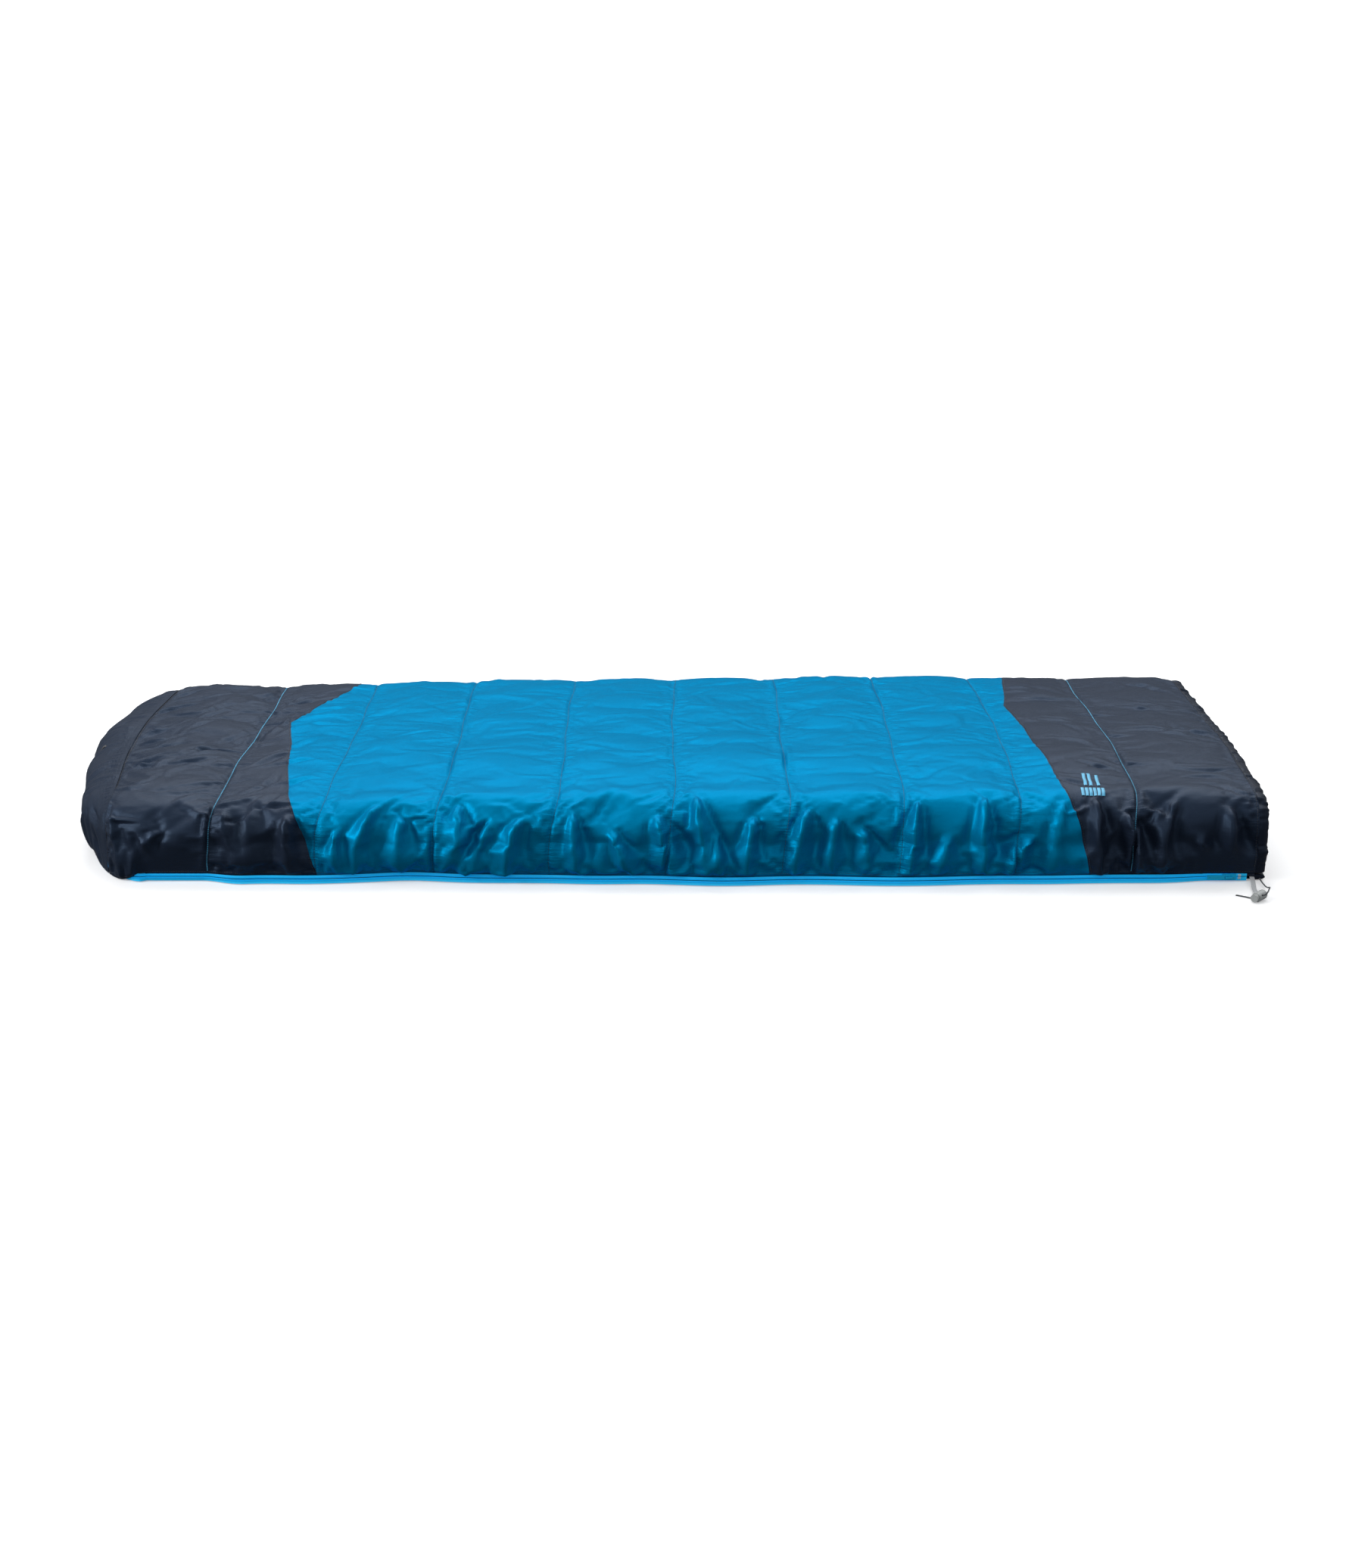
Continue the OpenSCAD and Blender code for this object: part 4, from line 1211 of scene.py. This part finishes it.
def lining_top():
    """Lining of the top quilt, with its turned edges: at the zip, along the fold and where the zip stops."""
    fold_edge = body_lining[:, -1].copy()
    fold_edge[:, 1] = FOLD_Y
    arc_rim, arc_in = (cap_point(ARC_A, 1 + 0 * ARC_A, t) + ASIDE for t in (0.0, LINING_IN))
    top_ledges = [ledge(inner, outer, FOLD_Z + 0.0002)
                  for inner, outer in ((body_lining[:, -1], fold_edge), (arc_in, arc_rim))]
    near_edge = closing_strip(top_skin(lu[:, 0], 0 * lu[:, 0]) + (0, 0.0030, 0.0006), body_lining[:, 0])
    split = (ca[1:, 1:] > CAP_END / CAP_RUN) & (cb[1:, 1:] <= 1.0 + 1e-9)
    parts = [(body_lining, np.stack([lu, lv], -1), np.exp(-nearest_seam(lu)[0] / 0.02)),
             (near_edge, near_edge[..., :2], filled(near_edge, 0.3))]
    climb = np.linspace(0, 1, 9)
    end_in = cap_point(CAP_END / CAP_RUN, climb, LINING_IN) + ASIDE
    end_out = cap_skin(np.full(9, CAP_END), climb * NEAR_LOW)
    top_ledges.append(closing_strip(end_out, end_in, 5))      # the wall's end, where the zip stops
    parts += [edge_part(p) for p in top_ledges]
    rim_a = regular(0, CAP_END / CAP_RUN, 0.008)
    rim = closing_strip(level(cap_point(rim_a, 0 * rim_a)) + (0, 0, 0.0006),
                        cap_point(rim_a, 0 * rim_a, LINING_IN) + ASIDE)
    parts += [(rim, rim[..., :2], filled(rim, 0.3))]
    verts, faces, uvs, nears = joined(parts)
    cap_verts, cap_faces, cap_uvs = masked(cap_lining, ~split, np.stack([ca * CAP_RUN, cb * 0.08], -1))
    faces = np.concatenate([faces, cap_faces + len(verts)])
    obj = build("lining_top", np.concatenate([verts, cap_verts]), faces[:, ::-1], [LINING], BODY_TOP,
                np.concatenate([uvs, cap_uvs]), np.concatenate([nears, np.full(len(cap_verts), 0.4)]))
    stand_for(obj, "lining", "top_liner", "top_batt_crown", "top_batt_near", "top_batt_far", "top_batt_foot")


def lining_far_wall():
    """Inner face of the bottom quilt's standing wall, along the far side and round the far foot corner."""
    zs = np.linspace(0.018, 0.060, 8)
    full = puff(ls)[:, None] * 0.004 * np.sin(np.linspace(0.2, 1, 8) * math.pi)[None]
    wall = np.stack(np.broadcast_arrays(ls[:, None], LINING_Y[:, None] - full, zs[None]), -1)
    a, b = np.meshgrid(regular(CAP_END / CAP_RUN, 1, 0.01), np.linspace(0.10, 1.0, 8), indexing="ij")
    corner = cap_point(a, b, LINING_IN) + ASIDE
    outer = cap_point(a, b)[:, -1:] + (0, SHIFT - 0.001, 0)
    corner = np.concatenate([corner, (corner[:, -1:] + outer) / 2 + (0, 0, 0.001), outer], axis=1)
    wall_top = wall[:, -1].copy()
    wall_top[:, 2] = FOLD_Z - 0.0002
    wall_out = wall_top.copy()
    wall_out[:, 1] = FOLD_Y
    shell_end = wall_points[-1]
    up = corner[0, :8, 2]
    end_out = sample(up, shell_end[:, 2], shell_end)
    parts = [edge_part(p) for p in (wall, corner, closing_strip(wall[:, -1], wall_top, 3),
                                    ledge(wall_top, wall_out, FOLD_Z - 0.0002),
                                    closing_strip(end_out, corner[0, :8], 5))]
    verts, faces, uvs, nears = joined(parts)
    obj = build("lining_far_wall", verts, faces, [LINING], BODY_BASE, uvs, nears)
    stand_for(obj, "lining", "bottom_batt_fold")


def fold_lining():
    """The strip of lining along the fold, where the bag bends as it opens, and the shell's web at the far foot
    corner.
    """
    low_part = np.stack(np.broadcast_arrays(ls[:, None], LINING_Y[:, None],
                                            np.linspace(0.058, FOLD_Z, 6)[None, :-1]), -1)
    high = body_point(*np.meshgrid(ls, np.linspace(GIRTH, GIRTH - 0.024, 8), indexing="ij"), LINING_IN)
    high[..., 1] += SHIFT - 0.0015
    strip = np.concatenate([low_part, high], axis=1)
    uv = np.stack(np.broadcast_arrays(ls[:, None], np.linspace(0, 0.05, strip.shape[1])[None]), -1)
    obj = build_grid("fold_lining", strip, uv, filled(strip, 0.4), LINING, None)
    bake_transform(obj)
    stand_for(obj, "lining", "fold_liner")

    web = np.repeat(cap_point(ARC_A, 1 + 0 * ARC_A, 0.0016)[:, None] + ASIDE, 9, 1)
    web[..., 2] = np.linspace(0.0722, 0.0778, 9)
    obj = build_grid("fold_gusset", web, web[..., [0, 2]], filled(web, 0.5), DARK, None)
    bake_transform(obj)


LINING_Y = half_width(ls, LINING_IN) - 0.0015 + SHIFT
lining_top()
lining_far_wall()
fold_lining()


# ---------------------------------------------------------------- head hem: gathered tunnels
def gathered_tube(name, centre, out, depth, body, nodes, seed, sides=22):
    """A tunnel of gathered cloth along centre, from 4.5 mm footward to 18.5 mm headward of it."""
    rng = np.random.default_rng(seed)
    n = len(centre)
    run = run_along(centre)
    folds = np.zeros((n, sides))
    theta = 2 * np.pi * np.arange(sides) / sides
    for _ in range(int(run[-1] / 0.0045)):
        at, w, h = rng.uniform(0, run[-1]), rng.uniform(0.0016, 0.0046), rng.uniform(0.0010, 0.0032)
        lean, turn = rng.normal(0, 0.004), rng.uniform(0, 2 * np.pi)
        round_it = 0.5 + 0.5 * np.cos(theta - turn)
        off = run[:, None] - at - lean * np.sin(theta)[None]
        folds += sign(rng, 0.5) * h * np.exp(-((off / w) ** 2)) * round_it[None]
    depth = np.broadcast_to(depth, (n,))[:, None]
    swell = 1 + folds / depth
    c, s = np.cos(theta)[None], np.sin(theta)[None]
    ahead = np.where(s > 0, 0.0185, 0.0045)
    pts = centre[:, None] + out[:, None] * (depth * c * swell)[..., None]
    pts[..., 0] += np.minimum(ahead * s * (1 + 0.5 * folds / depth), 0.0197)
    pts[..., 1] = behind_fold(pts[..., 1])
    verts = np.concatenate([pts.reshape(-1, 3), pts[[0, -1]].mean(axis=1)])
    uv = np.stack(np.broadcast_arrays(run[:, None], theta[None] * 0.01), -1).reshape(-1, 2)
    obj = build(name, verts, capped_tube(n, sides), [HEM], body, np.concatenate([uv, uv[:2]]),
                np.full(len(verts), 0.7))
    stand_for(obj, "hem_dark", *nodes)


hv = regular(0, GIRTH - 0.0005, 0.0022)
rim = top_skin(np.full_like(hv, HEM_X), hv)
turn = unit(outward(body_point, np.full_like(hv, HEM_X - 0.001), hv) * (0, 1, 1))
half_depth = 0.0112 - 0.0016 * (1 - ramp(hv, 0, 0.05))
gathered_tube("head_hem_top", rim - turn * half_depth[:, None], turn, half_depth, BODY_TOP,
              ["top_head_casing", "drawcord_top_run"], 41)


def low_hem():
    """The bottom hem's centre line, outward direction and half depth: over the floor and up to the fold."""
    ys = regular(-0.3840, 0.352, 0.0022)
    rise = ramp(ys, -0.384, -0.32)
    zs = 0.0062 + 0.0048 * rise
    half = 0.0056 + 0.0050 * rise
    turns = regular(0, math.pi / 2, 0.1)[1:]
    cy, cz, r = 0.352, 0.0270, 0.0160
    ys2, zs2 = cy + r * np.sin(turns), cz - r * np.cos(turns)
    zs3 = regular(0.029, 0.0742, 0.0022)
    ys3 = np.full_like(zs3, HALF_W - 0.0220)
    y = np.concatenate([ys, ys2, ys3]) + SHIFT
    z = np.concatenate([zs, zs2, zs3])
    y[-len(ys3):] = y[-len(ys3) - 1] + (HALF_W - 0.0112 + SHIFT - y[-len(ys3) - 1]) * ramp(zs3, 0.029, 0.05)
    half = np.concatenate([half, np.full(len(ys2) + len(ys3), 0.0106)])
    line = np.stack([np.full_like(y, HEM_X), y, z], -1)
    d = np.gradient(line, axis=0)
    return line, unit(np.stack([0 * y, d[:, 2], -d[:, 1]], -1)), half


gathered_tube("head_hem_bottom", *low_hem(), BODY_BASE, ["bottom_head_hem", "drawcord_bottom_run"], 43)


# ---------------------------------------------------------------- zip
COIL_END = 0.990
ZIP_STANDS_OUT = 0.0062


def zip_run(step=0.0004):
    """Points and outward directions of the zip's line, head to foot and across it."""
    near = np.arange(COIL_END, -ARC_X, -step)
    side = np.stack([near, -HALF_W - zip_wave(near)], -1)
    turn = step / 0.115                 # the arc's mean radius
    turns = np.arange(turn, math.pi / 2, turn)
    arc = np.stack([-ARC_X - (LOW_FOOT - ARC_X) * np.sin(turns), -ARC_Y - CORNER_R * np.cos(turns)], -1)
    foot = np.arange(-ARC_Y, 0.250, step)
    foot = np.stack([np.full_like(foot, -LOW_FOOT), foot], -1)
    p = np.concatenate([side, arc, foot])
    d = unit(np.gradient(p, axis=0))
    out = np.stack([-d[:, 1], d[:, 0]], -1)
    free = calm(p[:, 0]) + 0.6 * ramp(-p[:, 0], 0.868, 0.884) * (1 - ramp(-p[:, 0], 0.888, 0.93))
    return p + out * (ZIP_STANDS_OUT * free)[:, None], out, run_along(p), free


zip_p, zip_n, zip_len, zip_free = zip_run()


def slant(r, z):
    """The free zip rolls on to its back, so its lower edge stands further out."""
    return 0.0065 * (1 - np.asarray(z) / 0.0146) * np.interp(r, zip_len, zip_free)


def at_run(r):
    """Place and outward direction on the zip's line, at distances along it."""
    return sample(r, zip_len, zip_p), unit(sample(r, zip_len, zip_n))


def coil(name, z, body, node, material, phase):
    turns, per_turn = int(zip_len[-1] / 0.0023), 9
    r = np.linspace(0, zip_len[-1], turns * per_turn)
    angle = 2 * np.pi * np.arange(len(r)) / per_turn + phase
    p, n = at_run(r)
    out = -0.0010 + 0.00055 * np.cos(angle) + slant(r, z)
    x, y = (p + n * out[:, None]).T
    pts = np.stack([x, y + SHIFT, z + 0.00155 * np.sin(angle)], -1)
    stand_for(build(name, *tube(pts, 0.00052, 5), [material], body), "zip_coil", node)


# the lower coil takes the darker copy of the blue, which is painted shade
coil("coil_bottom", 0.0071, BODY_BASE, "zip_coil_bottom", ZIP_COIL_SHADED, 0.0)
coil("coil_top", 0.0114, BODY_TOP, "zip_coil_top", ZIP_COIL, math.pi / 2)


def tape(name, z0, z1, body, node):
    r = np.arange(-0.014, zip_len[-1], 0.004)
    p, n = at_run(np.maximum(r, 0))
    p[:, 0] += np.maximum(-r, 0)
    zs = np.linspace(z0, z1, 7)
    depth = -0.0022 + 0.0001 * np.sin(r * 900)[:, None] + slant(np.maximum(r, 0)[:, None], zs[None])
    x, y = p[:, :1] + n[:, :1] * depth, p[:, 1:] + n[:, 1:] * depth
    pts = np.stack([x, y + SHIFT, zs[None] + 0 * depth], -1)
    stand_for(thick_sheet(name, pts, 0.0006, [ZIP_TAPE], body), "zip_tape", node)


tape("tape_bottom", 0.0016, 0.0086, BODY_BASE, "zip_tape_bottom")
tape("tape_top", 0.0098, 0.0146, BODY_TOP, "zip_tape_top")


def finish_node(name, material, bevel=0.0003):
    """Keeps a CAD part, with its material and softly broken edges."""
    obj = frame["nodes"][name]
    obj.data.materials.clear()
    obj.data.materials.append(material)
    mod = obj.modifiers.new("edges", "BEVEL")
    mod.width, mod.segments, mod.limit_method, mod.angle_limit = bevel, 2, "ANGLE", math.radians(40)


finish_node("zip_slider", SLIDER, 0.0002)
finish_node("zip_pull", SLIDER, 0.0004)
for part in ("zip_stop_lower", "zip_stop_upper"):
    finish_node(part, STOP, 0.0004)
finish_node("cord_lock_body", LOCK, 0.0008)
finish_node("cord_lock_plunger", LOCK, 0.0007)
finish_node("cord_lock_spring", STEEL, 0.0002)


def press_spring():
    """Gives the spring its own mesh data. The real spring shortens as the plunger goes in."""
    spring = frame["nodes"]["cord_lock_spring"]
    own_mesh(spring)


press_spring()


# ---------------------------------------------------------------- sewing
def stitches(soup, line, normal, length=0.0032, gap=0.0013, radius=0.00042, lift=0.0005):
    """Thread along a line on the cloth: each stitch rises out of one hole and goes down the next."""
    run = run_along(line)
    starts = np.arange(0.002, run[-1] - length, length + gap)
    shares, sizes, lifts = (0.0, 0.18, 0.82, 1.0), (0.5, 1.0, 1.0, 0.5), (-0.3, 0.7, 0.7, -0.3)
    sides = 5
    angle = 2 * np.pi * np.arange(sides) / sides
    rings = []
    for share, size, up in zip(shares, sizes, lifts):
        r = starts + share * length
        p, m = sample(r, run, line), unit(sample(r, run, normal))
        side = unit(np.cross(sample(r + 0.0008, run, line) - p, m))
        c = p + m * lift * up
        rings.append(c[:, None] + radius * size * (side[:, None] * np.cos(angle)[None, :, None]
                                                   + m[:, None] * np.sin(angle)[None, :, None]))
    verts = np.stack(rings, 1)                          # stitch, ring, side
    count = len(starts)
    ends = [[first, first + k, first + k + 1][::way] for first, way in ((0, -1), (15, 1)) for k in (1, 2, 3)]
    tris = np.concatenate([halved(grid_faces(4, sides, close_cols=True)), ends])
    faces = (tris[None] + (np.arange(count) * 4 * sides)[:, None, None]).reshape(-1, 3)
    soup.add(verts.reshape(-1, 3), faces)


def across(s_of_v, lift=0.0):
    v = regular(0.003, GIRTH - 0.012, 0.002)
    s = s_of_v(v) if callable(s_of_v) else np.full_like(v, s_of_v)
    return top_skin(s, v, lift), outward(body_point, s, v)


light, blue, dark = Soup(), Soup(), Soup()
for k, x in enumerate(SEAMS):
    soup, size, gap = (light, 0.00075, 0.0005) if k in (0, 8) else (blue, 0.00042, 0.0013)
    stitches(soup, *across(float(x), 0.0004), gap=gap, radius=size)
stitches(dark, *across(SEAM_A + 0.0025, 0.0002))
stitches(dark, *across(lambda v: colour_line(FOOT_LINE, v) - 0.003, 0.0002))
stitches(dark, *across(lambda v: colour_line(HEAD_LINE, v) + 0.003, 0.0002))
stitches(dark, *across(HEM_X - 0.003, 0.0002))
ZIP_SEAM = 0.0042                   # the row of stitches that holds the zip, above the wall's lower edge
for a, b, soup, skin, form in ((SEAM_A, -0.590, dark, top_skin, body_point),
                               (-0.572, 0.728, blue, top_skin, body_point),
                               (0.742, HEM_X, dark, top_skin, body_point),
                               (0, CAP_END, dark, cap_skin, cap_form)):
    s = regular(a, b, 0.002)
    v = ZIP_SEAM + 0 * s
    stitches(soup, skin(s, v, 0.0002), outward(form, s, v), 0.0026, 0.0014)
for soup, name, material, slot in ((light, "thread_light", THREAD_LIGHT, "shell_blue"),
                                   (blue, "thread_blue", THREAD_BLUE, "shell_blue"),
                                   (dark, "thread_dark", THREAD_DARK, "shell_dark")):
    stand_for(soup.build(name, material, BODY_TOP), slot)


def mark():
    """A plain raised mark of bars on the head panel, with nothing written in it."""
    soup = Soup()
    low, middle = 0.146, 0.748
    row = np.linspace(-0.0170, 0.0170, 6)
    bars = ((0.0, 0.020, row), (0.029, 0.052, (-0.00825, 0.00025)), (0.029, 0.038, (0.0125,)))
    for at, size, lanes in bars:
        v = np.linspace(low + at, low + at + size, 12)
        for lane in lanes:
            s = np.full_like(v, middle + lane)
            body = np.stack([top_skin(s + 0.0022 * k, v, 0.0013 - 0.0008 * (abs(k) > 1.1))
                             for k in (-1.2, -0.9, 0.0, 0.9, 1.2)], 1)
            soup.add(body.reshape(-1, 3), grid_faces(12, 5)[:, ::-1])
    stand_for(soup.build("mark", MARK, BODY_TOP), "shell_blue")


mark()


# ---------------------------------------------------------------- hang loop and anchor tab
def band(name, line, across_dir, width, depth, material, body, node, slot):
    """Webbing along a line: a flat strip with rounded edges."""
    t = unit(np.gradient(line, axis=0))
    side = np.broadcast_to(np.asarray(across_dir, float), line.shape)
    side = unit(side - t * (side * t).sum(1, keepdims=True))
    up = np.cross(side, t)
    sides = 16
    angle = 2 * np.pi * np.arange(sides) / sides
    c, s = np.cos(angle), np.sin(angle)
    w = np.sign(c) * np.abs(c) ** 0.35 * width / 2
    d = np.sign(s) * np.abs(s) ** 0.6 * depth / 2
    rib = 0.00012 * np.sin(np.arange(len(line)) * 2.1)[:, None]
    pts = line[:, None] + side[:, None] * w[None, :, None]
    pts += up[:, None] * (d[None] + rib * np.sign(s)[None])[..., None]
    verts = np.concatenate([pts.reshape(-1, 3), line[:1], line[-1:]])
    tris = capped_tube(len(line), sides)[:, ::-1]
    stand_for(build(name, verts, tris, [material], body), slot, node)


def loop_line():
    turn = math.radians(180 - 26)
    c, s = math.cos(turn), math.sin(turn)
    rx, ry, out = 0.0048 / 2 - 0.0006, 0.012 / 2, 0.0757 + 0.0024
    angle = np.linspace(0, 2 * math.pi, 60)
    u = out + rx * np.sin(angle)
    w = (ry + rx) * np.cos(angle)
    u = u + 0.0012 * np.sin(angle) * (np.sin(angle) > 0)
    line = np.stack([SEAM_A + u * c - w * s, np.full_like(u, SHIFT), FOLD_Z + u * s + w * c], -1)
    rise = np.linspace(NEAR_LOW, CAP_RISE - 0.02, 80)
    seats = cap_skin(np.full_like(rise, CAP_RUN / 2), rise)
    root = line[np.argmax(line[:, 0])]
    seat = seats[np.argmin(np.abs(seats[:, 2] - root[2]))]
    return line + (seat - root) * np.array([1, 0, 1]) + np.array([0.0008, 0, 0])


band("hang_loop_webbing", loop_line(), (0, 1, 0), 0.0100, 0.0011, WEB_BLACK, "hang_loop", "hang_loop",
     "webbing_black")


def end_tab():
    """The cloth tab that closes the zip at its far end."""
    p, n = at_run(np.array([zip_len[-1] + 0.001]))
    z = np.linspace(0.0012, 0.0150, 14)
    line = np.stack([np.full_like(z, p[0, 0] + n[0, 0] * -0.0012), np.full_like(z, p[0, 1] + SHIFT), z], -1)
    band("zip_end_tab", line, (0, 1, 0), 0.0100, 0.0042, WEB_BLACK, BODY_BASE, "zip_end_stop",
         "webbing_black")


end_tab()


LEAD = math.radians(262.6)          # the way the anchor tab points, seen from above


def tab_line():
    d = np.linspace(0, 0.0665, 60)
    z = np.interp(d, (0, 0.014, 0.040, 0.066), (0.0095, 0.0085, 0.0031, 0.0061))
    z = np.convolve(np.pad(z, 5, mode="edge"), np.ones(11) / 11, mode="valid")
    return np.stack([1.012 + d * math.cos(LEAD), -0.391 + SHIFT + d * math.sin(LEAD), z], -1)


band("anchor_tab", tab_line(), (-math.sin(LEAD), math.cos(LEAD), 0), 0.0080, 0.0011, WEB_GREY, BODY_BASE,
     "cord_anchor_tab", "webbing_grey")


# ---------------------------------------------------------------- light and floor
def area_light(name, place, size, power, at=(0, 0, 0.05)):
    lamp = bpy.data.lights.new(name, "AREA")
    lamp.shape, lamp.size, lamp.size_y, lamp.energy = "RECTANGLE", size[0], size[1], power
    put(name, lamp, place, at)


area_light("light_above", (0.2, 1.3, 2.4), (4.2, 2.0), 66)
area_light("light_left", (-4.8, -1.5, 2.2), (1.8, 1.6), 150)
area_light("light_front", (1.2, -3.6, 2.0), (2.0, 1.2), 6)


def studio_world():
    """Soft light that comes from above, and little from below the horizon."""
    world = bpy.data.worlds.new("studio")
    world.use_nodes = True
    tree = world.node_tree
    back = next(n for n in tree.nodes if n.type == "BACKGROUND")
    where = tree.nodes.new("ShaderNodeTexCoord")
    split = tree.nodes.new("ShaderNodeSeparateXYZ")
    shade = tree.nodes.new("ShaderNodeMapRange")
    for key, value in (("From Min", -0.1), ("From Max", 0.9), ("To Min", 0.13), ("To Max", 0.68)):
        shade.inputs[key].default_value = value
    tree.links.new(where.outputs["Generated"], split.inputs[0])
    tree.links.new(split.outputs[2], shade.inputs["Value"])
    tree.links.new(shade.outputs[0], back.inputs["Strength"])
    back.inputs["Color"].default_value = (0.95, 0.97, 1.0, 1)
    SCENE.world = world


studio_world()
SCENE.view_settings.view_transform = "Standard"


def backdrop():
    """A plain pale floor that curves up behind, far off."""
    y = np.concatenate([np.linspace(-9, 7, 12), 7 + 5 * np.sin(np.linspace(0, math.pi / 2, 14)[1:])])
    z = np.concatenate([np.zeros(12), 5 * (1 - np.cos(np.linspace(0, math.pi / 2, 14)[1:]))])
    y, z = np.append(y, 12.0), np.append(z, 14.0)
    pts = np.stack([np.stack([np.full_like(y, x), y, z], -1) for x in (-16.0, 16.0)], 0)
    n = Nodes("floor_pale")
    grain = n.noise(n.add("TexCoord").outputs["Object"], 3.0, 2.0)
    pale = n.mix(grain, (0.93, 0.93, 0.93), (0.95, 0.95, 0.95))
    far = n.add("SeparateXYZ")
    n.link(n.add("TexCoord").outputs["Object"], far.inputs[0])
    n.link(n.maths("ADD", n.maths("MULTIPLY", n.maths("MAXIMUM", far.outputs[1], 1.5), 0.16), 0.06),
           n.shader.inputs["Emission Strength"])
    n.shader.inputs["Emission Color"].default_value = (1, 1, 1, 1)
    pale_floor = n.set(Base_Color=pale, Roughness=0.8)
    floor = build("floor", pts.reshape(-1, 3), grid_faces(2, len(y)), [pale_floor], None, laid=False)
    floor.visible_diffuse = False
    floor.visible_glossy = False


backdrop()
